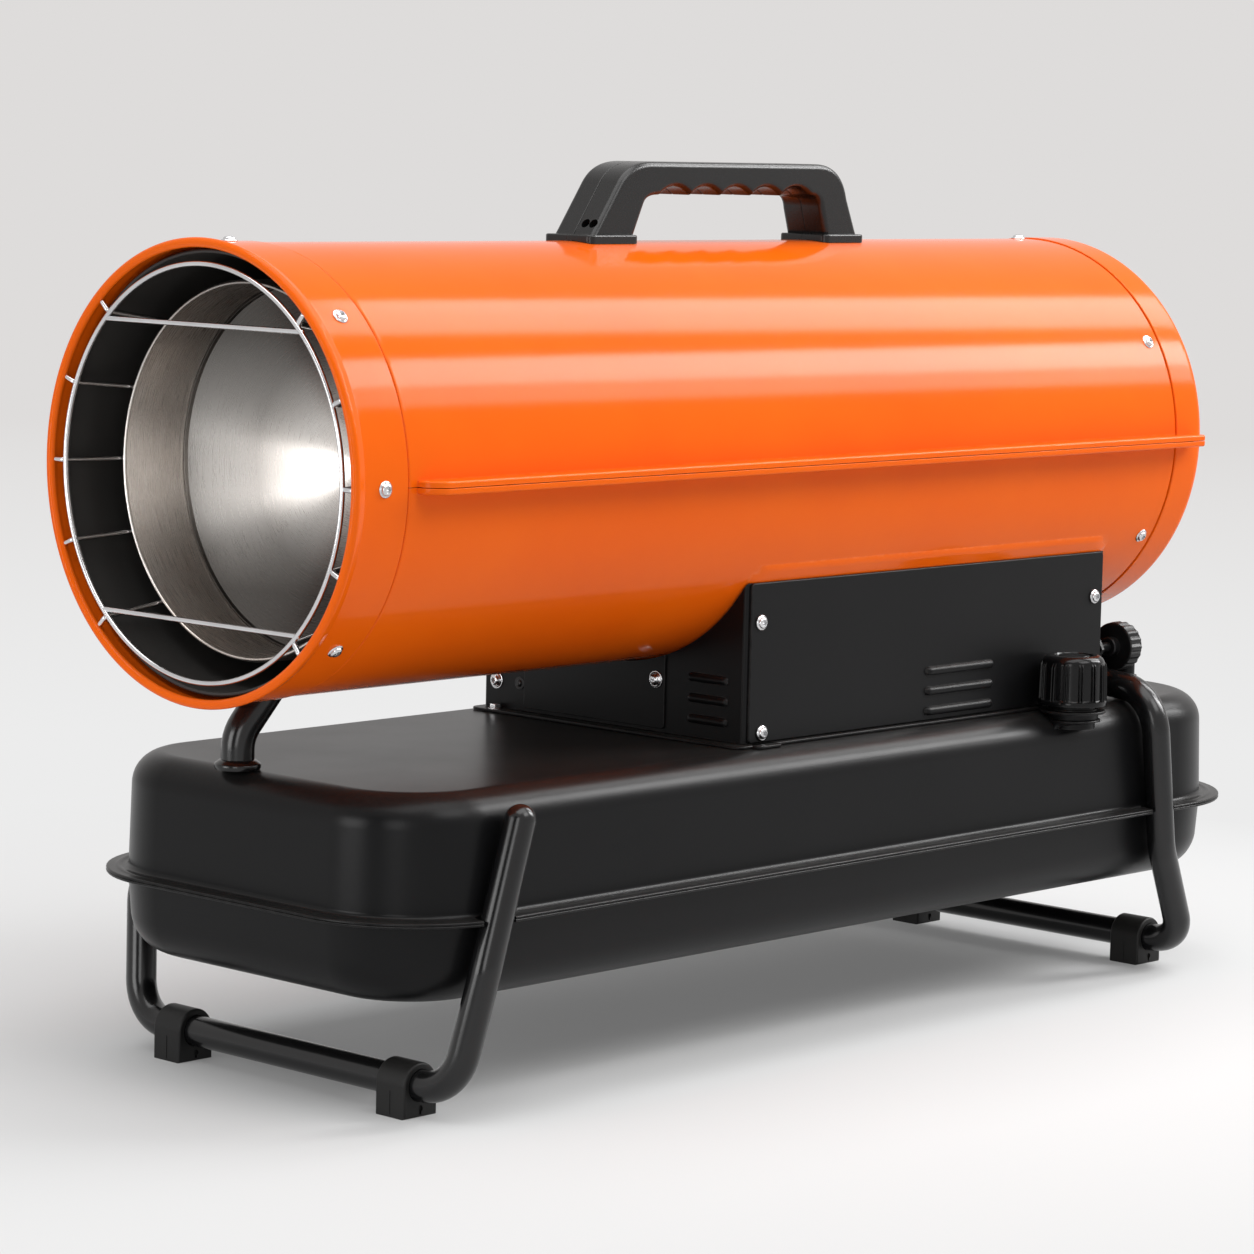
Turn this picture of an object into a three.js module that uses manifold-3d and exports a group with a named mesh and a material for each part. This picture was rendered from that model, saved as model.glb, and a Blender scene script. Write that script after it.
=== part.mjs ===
// Forced air heater on a fuel tank with tube legs.
// Millimetres, +Z up. X runs along the barrel from the hot air outlet (-X) to the
// air intake (+X). The side with the control cover and the fuel cap is -Y.
// The origin is on the floor under the middle of the heater.

import * as THREE from 'three';
import { mergeVertices } from 'three/addons/utils/BufferGeometryUtils.js';
import Module from 'manifold-3d';

const wasm = await Module();
wasm.setup();

// ---------------------------------------------------------------- driving sizes

const seatGap = 0.3; // between pieces that rest on each other
const runningGap = 0.5; // round what turns or slides
const sheet = 1.6; // steel sheet of the casings

// barrel
const barrelFront = -389;
const barrelLength = 720;
const barrelRadius = 120;
const barrelStand = 40; // from the tank's top to the barrel
const ringBand = 38;
const ringLap = 8;
const ringStep = 0.7; // the end bands stand proud of the shells
const lipRadius = 2.6;
const lipFlare = 2; // the lip's bead stands out from the band
const rearBand = 30;
const rearNose = 9;
const ledgeReach = 14;
const ledgeThick = 3.4;
const ledgeInset = 6;
const ledgeChamfer = 9;
const ledgeOverlap = 15; // the ledges run on over the rear band

// outlet
const linerSetback = 9.5;
const linerLength = 150;
const chamberGap = 14.6; // between the liner and the chamber
const chamberLength = 255;
const chamberSetback = 35;
const chamberSheet = 1.4;
const dishSetback = 42;
const dishDepth = 42;
const dishGap = 1.6;
const guardWire = 1.3;
const guardSetback = 1.9;
const guardInset = 11.6;
const guardHook = 7.4;
const guardCross = 77;
const guardStubs = [-47.5, -22.5, 0, 22.5, 47.5];

// burner
const burnerRadius = 46;
const burnerLength = 34;
const nozzleRadius = 9;
const nozzleLength = 34;

// fan and motor
const fanTipGap = 11.7;
const fanDepth = 30;
const fanSetback = 66; // fan hub's rear face to the barrel's rear end
const fanBlades = 5;
const hubRadius = 24;
const shaftRadius = 5;
const motorRadius = 44;
const motorLength = 92;
const motorToFan = 12;
const pumpRadius = 36;
const pumpLength = 46;
const grilleWire = 1.5;
const grilleRings = 4;
const grilleSpokes = 6;

// tank
const tankFront = -368;
const tankRear = 389;
const tankHalfWidth = 127.5;
const tankTop = 172;
const tankSeam = 107;
const tankBottom = 61;
const tankFlange = 12;
const tankFlangeThick = 1.5;
const tankCorner = 72; // in plan, at the front
const tankRearCorner = 84;
const tankShoulder = 18;
const tankBelly = 24;
const tankDraft = 1.6;
const tankWall = 2;

// control box
const boxFront = -70;
const boxRear = 259;
const boxNear = 101;
const boxFar = 106;
const boxCorner = 2.4;
const saddleRaise = 0.6;
const saddleAngle = 28.5;
const coverEdge = 3;
const baseThick = 1.5;
const baseRim = 4;
const louvreCount = 3;
const louvrePitch = 11.8;
const louvreHeight = 5.6;
const louvreRise = 2.8;
const sideLouvreLength = 63;
const sideLouvreFromFront = 157;
const frontLouvreLength = 30;

// controls
const knobRadius = 16;
const knobDepth = 12;
const knobY = -92;
const knobRise = 31; // above the tank's top
const knobStandoff = 21;
const spindleRadius = 3;
const bushRadius = 6;
const switchY = -30;
const switchWidth = 19;
const switchHeight = 13;
const rockerTilt = 7; // degrees, to each side of the middle
const inletY = 40;
const inletWidth = 28;
const inletHeight = 20;

// fuel
const capFromRear = 58; // from the control box's rear wall
const capRadius = 20.8;
const capHeight = 30;
const capClearance = 0.8; // between the cap and the side cover
const capRibs = 14;
const neckRadius = 14;
const neckWall = 2;
const neckRise = 14;
const neckDepth = 9; // the neck's tube below the tank's top
const capLift = 5; // from the tank top to the cap's lip
const pickupFromRear = 52; // behind the control box
const pickupY = -80;
const pickupRadius = 3.5;
const fuelLineRadius = 3;
const filterRadius = 12;
const filterHeight = 22;

// legs and support
const legTube = 8.5;
const crossbarHeight = 17;
const frontFootX = -316;
const rearFootX = 319;
const footY = 89;
const footWidth = 22;
const footLength = 24;
const footGap = 0.3;
const frontLegLean = 10; // the front leg's tubes lean to the rear, up to the tank's wall
const frontLegTopLean = 33;
const rearLegLean = 41; // the rear leg's tubes lean to the front
const notchGap = 2.5;
const legBend = 26;
const bendClearance = 25; // from a foot to the corner its tube bends at
const supportTube = 9;
const supportX = -342;
const supportY = 17;
const collarRadius = 12.5;
const collarHeight = 5;

// handle
const handleHalfWidth = 16;
const handleRise = 44;
const handleLength = 236;
const handlePadRise = 3.6;
const handlePadFlare = 2.6;
const handleEdge = 2.4;
const fingerPitch = 26;
const fingerDepth = 3.2;

// round counts
const barrelFacets = 32;
const roundFacets = 16;
const smallFacets = 10;

// ---------------------------------------------------------------- derived places

const axisHeight = tankTop + barrelStand + barrelRadius;
const barrelTop = axisHeight + barrelRadius;
const handleTop = barrelTop + handleRise;
const handleFront = -117;
const handleRear = handleFront + handleLength;
const barrelRear = barrelFront + barrelLength;
const facetSag = barrelRadius * (1 - Math.cos(Math.PI / barrelFacets));
const splitGap = 0.15; // from the split plane to each half of the casing
const shellOuter = barrelRadius - ringStep;
const shellInner = shellOuter - sheet;
const lapOuter = barrelRadius - sheet - seatGap;
const lapInner = lapOuter - sheet;
const linerOuter = lapInner - seatGap;
const linerInner = linerOuter - sheet;
const chamberRadius = linerInner - chamberGap;
const fanRadius = shellInner - fanTipGap;
const saddleOuter = shellOuter + saddleRaise;
const boxTopRadius = saddleOuter + seatGap;
const shellFront = barrelFront + ringBand + seatGap;
const shellRear = barrelRear - rearBand - seatGap;
const chamberFront = barrelFront + chamberSetback;
const chamberRear = chamberFront + chamberLength;
const fanRear = barrelRear - fanSetback;
const fanFront = fanRear - fanDepth;
const motorRear = fanFront - motorToFan;
const motorFront = motorRear - motorLength;
const pumpFront = motorFront - pumpLength - seatGap;
const capX = boxRear - capFromRear;
const capY = -(boxNear + capClearance + capRadius);
const pickupX = boxRear + pickupFromRear;
const boxFloor = tankTop + seatGap;
const wallFloor = boxFloor + baseThick + seatGap;
const knobZ = tankTop + knobRise;
const switchZ = (wallFloor + axisHeight - barrelRadius) / 2;
const boxHeightNear = axisHeight - Math.sqrt(boxTopRadius ** 2 - (boxNear - sheet) ** 2);
const legWallY = tankHalfWidth + legTube + seatGap;

// ---------------------------------------------------------------- solids

// A closed solid from a three.js geometry, its faces turned outward.
function solid(geometry) {
  const bare = geometry.clone();
  bare.deleteAttribute('normal');
  bare.deleteAttribute('uv');
  const merged = mergeVertices(bare, 1e-4);
  const at = merged.getAttribute('position');
  const index = Array.from(merged.getIndex().array);
  let volume = 0;
  const a = new THREE.Vector3();
  const b = new THREE.Vector3();
  const c = new THREE.Vector3();
  for (let i = 0; i < index.length; i += 3) {
    a.fromBufferAttribute(at, index[i]);
    b.fromBufferAttribute(at, index[i + 1]);
    c.fromBufferAttribute(at, index[i + 2]);
    volume += a.dot(b.cross(c));
  }
  const corners = [];
  for (let i = 0; i < index.length; i += 3) {
    const [p, q, r] = [index[i], index[i + 1], index[i + 2]];
    if (p === q || q === r || r === p) {
      continue;
    }
    corners.push(p, volume < 0 ? r : q, volume < 0 ? q : r);
  }
  return new wasm.Manifold(
    new wasm.Mesh({
      numProp: 3,
      vertProperties: new Float32Array(at.array),
      triVerts: new Uint32Array(corners),
    }),
  );
}

// The solid back as a three.js geometry.
function geometryOf(body) {
  const mesh = body.getMesh();
  const geometry = new THREE.BufferGeometry();
  geometry.setAttribute('position', new THREE.BufferAttribute(new Float32Array(mesh.vertProperties), 3));
  geometry.setIndex(new THREE.BufferAttribute(new Uint32Array(mesh.triVerts), 1));
  return geometry;
}

const join = (...bodies) => bodies.reduce((whole, body) => whole.add(body));
const cut = (body, ...tools) => tools.reduce((whole, tool) => whole.subtract(tool), body);

// Turns a geometry made along Z so that it runs along X or Y.
function along(axis, geometry) {
  const turned = geometry.clone();
  if (axis === 'x') {
    turned.applyMatrix4(new THREE.Matrix4().makeBasis(unit(0, 1, 0), unit(0, 0, 1), unit(1, 0, 0)));
  }
  if (axis === 'y') {
    turned.applyMatrix4(new THREE.Matrix4().makeBasis(unit(1, 0, 0), unit(0, 0, 1), unit(0, 1, 0)));
  }
  return turned;
}

function unit(x, y, z) {
  return new THREE.Vector3(x, y, z);
}

// A prism of an outline between two places on an axis.
// The outline is in (y, z) along X, in (x, z) along Y and in (x, y) along Z.
function prism(axis, outline, from, to, bevel = 0) {
  const geometry = new THREE.ExtrudeGeometry(outline, {
    depth: to - from - 2 * bevel,
    bevelEnabled: bevel > 0,
    bevelSize: bevel,
    bevelThickness: bevel,
    bevelOffset: -bevel,
    bevelSegments: 1,
    curveSegments: 4,
  });
  geometry.translate(0, 0, from + bevel);
  return solid(along(axis, geometry));
}

function polygon(points) {
  return new THREE.Shape(points.map(([u, v]) => new THREE.Vector2(u, v)));
}

function rectangle(u0, v0, u1, v1) {
  return polygon([[u0, v0], [u1, v0], [u1, v1], [u0, v1]]);
}

function roundedRectangle(u0, v0, u1, v1, radius) {
  const shape = new THREE.Shape();
  shape.moveTo(u0 + radius, v0);
  shape.lineTo(u1 - radius, v0);
  shape.absarc(u1 - radius, v0 + radius, radius, -Math.PI / 2, 0);
  shape.lineTo(u1, v1 - radius);
  shape.absarc(u1 - radius, v1 - radius, radius, 0, Math.PI / 2);
  shape.lineTo(u0 + radius, v1);
  shape.absarc(u0 + radius, v1 - radius, radius, Math.PI / 2, Math.PI);
  shape.lineTo(u0, v0 + radius);
  shape.absarc(u0 + radius, v0 + radius, radius, Math.PI, Math.PI * 1.5);
  return shape;
}

function block(x0, y0, z0, x1, y1, z1) {
  const geometry = new THREE.BoxGeometry(x1 - x0, y1 - y0, z1 - z0);
  geometry.translate((x0 + x1) / 2, (y0 + y1) / 2, (z0 + z1) / 2);
  return solid(geometry);
}

// A turned solid: profile points are [place on the axis, radius].
function turned(axis, profile, centre, facets = roundFacets) {
  const points = profile.map(([place, radius]) => new THREE.Vector2(Math.max(radius, 0), place));
  const geometry = new THREE.LatheGeometry(points, facets);
  geometry.rotateX(Math.PI / 2);
  const onAxis = along(axis, geometry);
  onAxis.translate(...centre);
  return solid(onAxis);
}

// A plain round bar between two places on an axis.
function bar(axis, radius, from, to, centre, facets = smallFacets) {
  return turned(axis, [[from, 0], [from, radius], [to, radius], [to, 0]], centre, facets);
}

// Round the barrel's axis.
function barrelTurned(profile, facets = barrelFacets) {
  return turned('x', profile, [0, 0, axisHeight], facets);
}

function barrelBar(radius, from, to, facets = barrelFacets) {
  return barrelTurned([[from, 0], [from, radius], [to, radius], [to, 0]], facets);
}

// Points on an arc, angles in degrees.
function arcPoints(u, v, radius, from, to, steps) {
  const points = [];
  for (let i = 0; i <= steps; i += 1) {
    const angle = THREE.MathUtils.degToRad(from + ((to - from) * i) / steps);
    points.push([u + radius * Math.cos(angle), v + radius * Math.sin(angle)]);
  }
  return points;
}

// A line through points with its corners rounded to a bend radius:
// the places along it, each with the line's direction there.
function bentPath(points, bend, arcSteps = 4) {
  const headings = points.slice(1).map((point, i) => point.clone().sub(points[i]).normalize());
  const places = [{ at: points[0], way: headings[0] }];
  for (let i = 1; i < points.length - 1; i += 1) {
    const [into, out] = [headings[i - 1], headings[i]];
    const turn = into.angleTo(out);
    const start = points[i].clone().addScaledVector(into, -bend * Math.tan(turn / 2));
    const hinge = into.clone().cross(out).normalize();
    const spoke = hinge.clone().cross(into).multiplyScalar(-bend);
    const centre = start.clone().sub(spoke);
    const count = Math.max(2, Math.round((arcSteps * turn) / (Math.PI / 2)));
    for (let k = 0; k <= count; k += 1) {
      const angle = (turn * k) / count;
      places.push({
        at: centre.clone().add(spoke.clone().applyAxisAngle(hinge, angle)),
        way: into.clone().applyAxisAngle(hinge, angle),
      });
    }
  }
  places.push({ at: points[points.length - 1], way: headings[headings.length - 1] });
  return places;
}

// A round bar along a path, with flat or domed ends.
function rod(path, radius, facets = 12, domed = false) {
  const normal = unit(0, 0, 1).cross(path[0].way);
  if (normal.length() < 0.1) {
    normal.copy(unit(1, 0, 0));
  }
  normal.normalize();
  const rings = [];
  const ring = (at, way, size) => {
    const side = way.clone().cross(normal);
    const points = [];
    for (let i = 0; i < facets; i += 1) {
      const angle = (2 * Math.PI * i) / facets;
      const point = at.clone().addScaledVector(normal, size * Math.cos(angle)).addScaledVector(side, size * Math.sin(angle));
      points.push(point.toArray());
    }
    rings.push(points);
  };
  const dome = domed ? [75, 50, 25] : [];
  const first = path[0];
  for (const angle of dome) {
    const turn = THREE.MathUtils.degToRad(angle);
    ring(first.at.clone().addScaledVector(first.way, -radius * Math.sin(turn)), first.way, radius * Math.cos(turn));
  }
  let before = first.way;
  for (const { at, way } of path) {
    normal.applyQuaternion(new THREE.Quaternion().setFromUnitVectors(before, way));
    ring(at, way, radius);
    before = way;
  }
  const last = path[path.length - 1];
  for (const angle of dome.toReversed()) {
    const turn = THREE.MathUtils.degToRad(angle);
    ring(last.at.clone().addScaledVector(last.way, radius * Math.sin(turn)), last.way, radius * Math.cos(turn));
  }
  return loft(rings);
}

// A skin through rings with equal numbers of points, closed over its first and last ring.
function loft(rings) {
  const count = rings[0].length;
  const places = rings.flat().flatMap((point) => point);
  const index = [];
  for (let r = 0; r < rings.length - 1; r += 1) {
    for (let i = 0; i < count; i += 1) {
      const a = r * count + i;
      const b = r * count + ((i + 1) % count);
      index.push(a, b, a + count, b, b + count, a + count);
    }
  }
  [rings[0], rings[rings.length - 1]].forEach((ring, end) => {
    const middle = places.length / 3;
    const sum = ring.reduce((total, point) => total.map((value, k) => value + point[k]), [0, 0, 0]);
    places.push(...sum.map((value) => value / count));
    const base = end === 0 ? 0 : (rings.length - 1) * count;
    for (let i = 0; i < count; i += 1) {
      const a = base + i;
      const b = base + ((i + 1) % count);
      index.push(...(end === 0 ? [middle, b, a] : [middle, a, b]));
    }
  });
  const geometry = new THREE.BufferGeometry();
  geometry.setAttribute('position', new THREE.Float32BufferAttribute(places, 3));
  geometry.setIndex(index);
  return solid(geometry);
}

// ---------------------------------------------------------------- finishes

const finish = {
  orange: { color: 0xe8601a, roughness: 0.28, metalness: 0 },
  blackSteel: { color: 0x2a2a2b, roughness: 0.5, metalness: 0.1 },
  blackGloss: { color: 0x1d1d1e, roughness: 0.3, metalness: 0.1 },
  linerBlack: { color: 0x181818, roughness: 0.75, metalness: 0 },
  steel: { color: 0xb9b7b3, roughness: 0.35, metalness: 1 },
  wire: { color: 0xd6d8da, roughness: 0.15, metalness: 1 },
  blackPlastic: { color: 0x232324, roughness: 0.45, metalness: 0 },
  rubber: { color: 0x1b1b1b, roughness: 0.8, metalness: 0 },
  aluminium: { color: 0xa9abad, roughness: 0.4, metalness: 1 },
  brass: { color: 0xb08d3c, roughness: 0.3, metalness: 1 },
  ceramic: { color: 0xe6e0d2, roughness: 0.4, metalness: 0 },
  greenBoard: { color: 0x1d5a36, roughness: 0.5, metalness: 0 },
};

const heater = new THREE.Group();

function add(name, body, look) {
  const mesh = new THREE.Mesh(geometryOf(body), new THREE.MeshStandardMaterial(finish[look]));
  mesh.name = name;
  heater.add(mesh);
}

// ---------------------------------------------------------------- barrel

function frontRing() {
  const inner = barrelRadius - sheet;
  const lipCentre = barrelRadius + lipFlare - lipRadius;
  const roll = arcPoints(barrelFront + lipRadius, lipCentre, lipRadius, 60, 270, 5);
  return barrelTurned([
    ...roll,
    [barrelFront + 2 * lipRadius, lipCentre - lipRadius],
    [barrelFront + 2 * lipRadius, inner],
    [barrelFront + ringBand, inner],
    [barrelFront + ringBand, barrelRadius],
    [barrelFront + 3 * lipRadius, barrelRadius],
    roll[0],
  ]);
}

// The rear band turns in over a rounded nose to the air intake.
function rearRing() {
  const inner = barrelRadius - sheet;
  const start = barrelRear - rearBand;
  const noseX = barrelRear - rearNose;
  const outer = arcPoints(noseX, barrelRadius - rearNose, rearNose, 90, 0, 3);
  const back = arcPoints(noseX, barrelRadius - rearNose, rearNose - sheet, 0, 90, 2);
  const mouth = barrelRadius - rearNose - 3;
  return barrelTurned([
    [start, barrelRadius],
    ...outer,
    [barrelRear, mouth],
    [barrelRear - sheet, mouth],
    ...back,
    [start, inner],
    [start, barrelRadius],
  ]);
}

// Half of the casing: side is 1 for the upper half and -1 for the lower.
// Each half ends in a folded ledge, and is drawn in where the end bands lap over it.
function shellHalf(side) {
  const half = barrelFacets / 2;
  const edge = side * splitGap;
  const ledge = side * (splitGap + ledgeThick);
  const reach = shellOuter + ledgeReach;
  const outer = arcPoints(0, 0, shellOuter, 0, side * 180, half).slice(1, -1);
  const inner = arcPoints(0, 0, shellInner, side * 180, 0, half).slice(1, -1);
  const outerFoot = Math.sqrt(shellOuter ** 2 - ledge ** 2);
  const innerFoot = Math.sqrt(shellInner ** 2 - edge ** 2);
  const section = [
    [innerFoot, edge],
    [reach, edge],
    [reach, ledge],
    [outerFoot, ledge],
    ...outer,
    [-outerFoot, ledge],
    [-reach, ledge],
    [-reach, edge],
    [-innerFoot, edge],
    ...inner,
  ];
  const outline = polygon(section.map(([y, z]) => [y, z + axisHeight]));
  const ledgeEnd = shellRear + ledgeOverlap;
  const body = cut(
    prism('x', outline, shellFront, ledgeEnd),
    barrelBar(barrelRadius + seatGap, shellRear, ledgeEnd + 1),
    ...ledgeCorners(ledgeEnd),
  );
  const space = 2 * barrelRadius;
  const keep = side > 0
    ? block(barrelFront, -space, axisHeight + splitGap, barrelRear, space, axisHeight + space)
    : block(barrelFront, -space, axisHeight - space, barrelRear, space, axisHeight - splitGap);
  return join(body, lapBand(shellFront, 1).intersect(keep), lapBand(shellRear, -1).intersect(keep));
}

// The drawn-in end of the casing under an end band: way is 1 at the front and -1 at the rear.
function lapBand(edge, way) {
  const end = edge - way * ringLap;
  return barrelTurned([
    [end, lapInner],
    [end, lapOuter],
    [edge, lapOuter],
    [edge, shellOuter - 0.3],
    [edge + way * 2, shellOuter - 0.3],
    [edge + way * 3, shellInner + 0.3],
    [edge + way * 1.5, lapInner],
    [end, lapInner],
  ]);
}

// The ledges start behind the front band, cut off at 45 degrees in plan.
function ledgeCorners(ledgeEnd) {
  const start = shellFront + ledgeInset;
  const reach = shellOuter + ledgeReach;
  const low = axisHeight - 2 * ledgeThick;
  const high = axisHeight + 2 * ledgeThick;
  const tools = [];
  for (const side of [-1, 1]) {
    tools.push(prism('z', polygon([
      [shellFront - 1, side * (shellOuter + 0.4)],
      [start, side * (shellOuter + 0.4)],
      [start, side * (reach - ledgeChamfer)],
      [start + ledgeChamfer, side * (reach + 1)],
      [shellFront - 1, side * (reach + 1)],
    ]), low, high));
    tools.push(prism('z', polygon([
      [ledgeEnd - 4, side * (reach + 1)],
      [ledgeEnd + 1, side * (reach - 4)],
      [ledgeEnd + 1, side * (reach + 1)],
    ]), low, high));
  }
  return tools;
}

// The lower half carries a pressed saddle where the control box meets it.
function lowerShell() {
  const down = axisHeight - saddleOuter;
  const top = axisHeight - saddleOuter * Math.sin(THREE.MathUtils.degToRad(saddleAngle));
  const corner = 12;
  const band = barrelTurned([
    [boxFront, shellInner + 0.5],
    [boxFront, saddleOuter],
    [boxRear, saddleOuter],
    [boxRear, shellInner + 0.5],
    [boxFront, shellInner + 0.5],
  ]);
  const window = prism('y', polygon([
    [boxFront - 1, down - 1],
    [boxRear + 1, down - 1],
    [boxRear + 1, top - corner],
    [boxRear - corner, top],
    [boxFront + corner, top],
    [boxFront - 1, top - corner],
  ]), -saddleOuter - 1, saddleOuter + 1);
  const lineHole = bar('z', fuelLineRadius + runningGap, 0, axisHeight, [riserX, 0, 0]);
  return cut(join(shellHalf(-1), band.intersect(window)), lineHole);
}

const riserX = chamberRear + 48;

// ---------------------------------------------------------------- outlet

function outletLiner() {
  const from = barrelFront + linerSetback;
  const to = barrelFront + linerLength;
  return barrelTurned([[from, linerInner], [from, linerOuter], [to, linerOuter], [to, linerInner], [from, linerInner]]);
}

// Combustion chamber: a steel drum, open to the front, with a rear wall round the burner head
// and four feet that rest in the liner.
function combustionChamber() {
  const inner = chamberRadius - chamberSheet;
  const port = burnerRadius + seatGap;
  const drum = barrelTurned([
    [chamberFront, inner],
    [chamberFront, chamberRadius],
    [chamberRear, chamberRadius],
    [chamberRear, port],
    [chamberRear - chamberSheet, port],
    [chamberRear - chamberSheet, inner],
    [chamberFront, inner],
  ], 48);
  const feet = [];
  for (const angle of [45, 135, 225, 315]) {
    const foot = block(chamberFront + 55, -9, chamberRadius - 1, chamberFront + 57, 9, linerInner - seatGap - 2 * facetSag);
    feet.push(foot.rotate([angle - 90, 0, 0]).translate([0, 0, axisHeight]));
  }
  return join(drum, ...feet);
}

// The dished flame plate behind the outlet: hot gas leaves round its rim.
function flameDish() {
  const rim = chamberRadius - chamberSheet - dishGap;
  const start = chamberFront + dishSetback;
  const wall = chamberSheet;
  const steps = 4;
  const front = [];
  const back = [];
  for (let i = 0; i <= steps; i += 1) {
    const angle = (Math.PI / 2) * (i / steps);
    const radius = (rim - 3) * Math.cos(angle);
    const place = start + 3 + dishDepth * Math.sin(angle);
    front.push([place, radius]);
    back.push([place + wall, radius]);
  }
  const bowl = barrelTurned([
    ...front,
    ...back.reverse().slice(0, -1),
    [start + 3 + wall, rim],
    [start, rim],
    [start, rim - 3 + wall],
    front[0],
  ], 26);
  const tabs = [];
  for (const angle of [0, 90, 180, 270]) {
    const tab = block(start + 0.5, -4, rim - 2, start + 3, 4, chamberRadius - chamberSheet - seatGap - facetSag);
    tabs.push(tab.rotate([angle, 0, 0]).translate([0, 0, axisHeight]));
  }
  return join(bowl, ...tabs);
}

// Wire guard: a ring, two cross wires, and wires hooked over the ring that run back to the chamber.
function outletGuard() {
  const ringRadius = barrelRadius - guardInset;
  const ringX = barrelFront + guardSetback + guardWire;
  const ring = new THREE.TorusGeometry(ringRadius, guardWire, 5, 32);
  const parts = [solid(along('x', ring)).translate([ringX, 0, axisHeight])];
  const seatRadius = chamberRadius + guardWire + seatGap;
  for (const side of [-1, 1]) {
    const z = side * guardCross;
    const halfSpan = Math.sqrt(ringRadius ** 2 - z ** 2);
    parts.push(bar('y', guardWire, -halfSpan, halfSpan, [ringX, 0, axisHeight + z], 6));
    for (const degrees of guardStubs) {
      const angle = THREE.MathUtils.degToRad(degrees);
      const spoke = (x, radius) => (
        new THREE.Vector3(x, side * radius * Math.cos(angle), axisHeight + radius * Math.sin(angle))
      );
      const wire = bentPath([
        spoke(ringX - 0.4, ringRadius + guardHook),
        spoke(ringX, ringRadius + guardWire),
        spoke(chamberFront + 4, seatRadius),
        spoke(chamberFront + 12, seatRadius),
      ], 2, 3);
      parts.push(rod(wire, guardWire, 4));
    }
  }
  return join(...parts);
}

// ---------------------------------------------------------------- burner

function burnerHead() {
  const from = chamberRear - 10;
  const to = from + burnerLength;
  const disc = from + 8;
  const head = barrelTurned([
    [from, burnerRadius - 2],
    [from, burnerRadius],
    [to, burnerRadius],
    [to, burnerRadius - 2],
    [disc + 2, burnerRadius - 2],
    [disc + 2, nozzleRadius + seatGap],
    [disc, nozzleRadius + seatGap],
    [disc, burnerRadius - 2],
    [from, burnerRadius - 2],
  ], 20);
  const slots = [];
  for (let i = 0; i < 6; i += 1) {
    const slot = block(disc - 1, -1.6, 27, disc + 3, 1.6, 40);
    slots.push(slot.rotate([30 + i * 60, 0, 0]).translate([0, 0, axisHeight]));
  }
  const holes = [
    bar('x', igniterRadius + seatGap, disc - 1, disc + 3, [0, igniterY, axisHeight]),
    bar('x', eyeRadius + seatGap, disc - 1, disc + 3, [0, -igniterY, axisHeight]),
  ];
  return cut(head, ...slots, ...holes);
}

const igniterY = 19;
const igniterRadius = 5;
const eyeRadius = 5;

function nozzle() {
  const from = chamberRear - 16;
  const tip = from + 5;
  const hexFrom = chamberRear + 4;
  const stem = barrelTurned([
    [from, 0],
    [from, 3],
    [tip, nozzleRadius - 1.5],
    [hexFrom, nozzleRadius - 1.5],
    [hexFrom, nozzleRadius - 0.2],
    [from + nozzleLength, nozzleRadius - 0.2],
    [from + nozzleLength, 0],
  ], 12);
  return stem;
}

function igniter() {
  const from = chamberRear - 14;
  const to = chamberRear + 24;
  const ceramic = bar('x', igniterRadius, from, to, [0, igniterY, axisHeight]);
  const wire = rod(bentPath([
    new THREE.Vector3(from + 2, igniterY, axisHeight),
    new THREE.Vector3(from - 10, igniterY, axisHeight),
    new THREE.Vector3(from - 14, 6, axisHeight),
  ], 2, 3), 1.2, 6);
  return join(ceramic, wire);
}

function flameEye() {
  const from = chamberRear - 6;
  const flange = chamberRear + 3;
  return turned('x', [
    [from, 0],
    [from, eyeRadius],
    [flange, eyeRadius],
    [flange, eyeRadius + 2],
    [flange + 6, eyeRadius + 2],
    [flange + 6, eyeRadius - 1],
    [flange + 18, eyeRadius - 1],
    [flange + 18, 0],
  ], [0, -igniterY, axisHeight], smallFacets);
}

// ---------------------------------------------------------------- fan and motor

// One blade: thin curved sections that lie flatter towards the tip.
function fanBlade() {
  const rings = [];
  const steps = 5;
  for (let i = 0; i <= steps; i += 1) {
    const share = i / steps;
    const radius = hubRadius - 3 + (fanRadius - hubRadius + 3) * share;
    const pitch = THREE.MathUtils.degToRad(52 - 26 * share);
    const chord = 34 + 30 * Math.sin(share * Math.PI * 0.62);
    const sweep = 10 * share * share;
    const ring = [];
    for (const [across, thick] of [[-0.5, -0.5], [0, -1], [0.5, -0.5], [0.5, 0.5], [0, 0.2], [-0.5, 0.5]]) {
      const u = across * chord;
      const camber = 3.5 * (1 - 4 * across * across);
      const v = thick * 1.8 + camber;
      const x = u * Math.sin(pitch) + v * Math.cos(pitch);
      const y = u * Math.cos(pitch) - v * Math.sin(pitch) + sweep;
      ring.push([x, y, radius]);
    }
    rings.push(ring);
  }
  return loft(rings);
}

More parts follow.
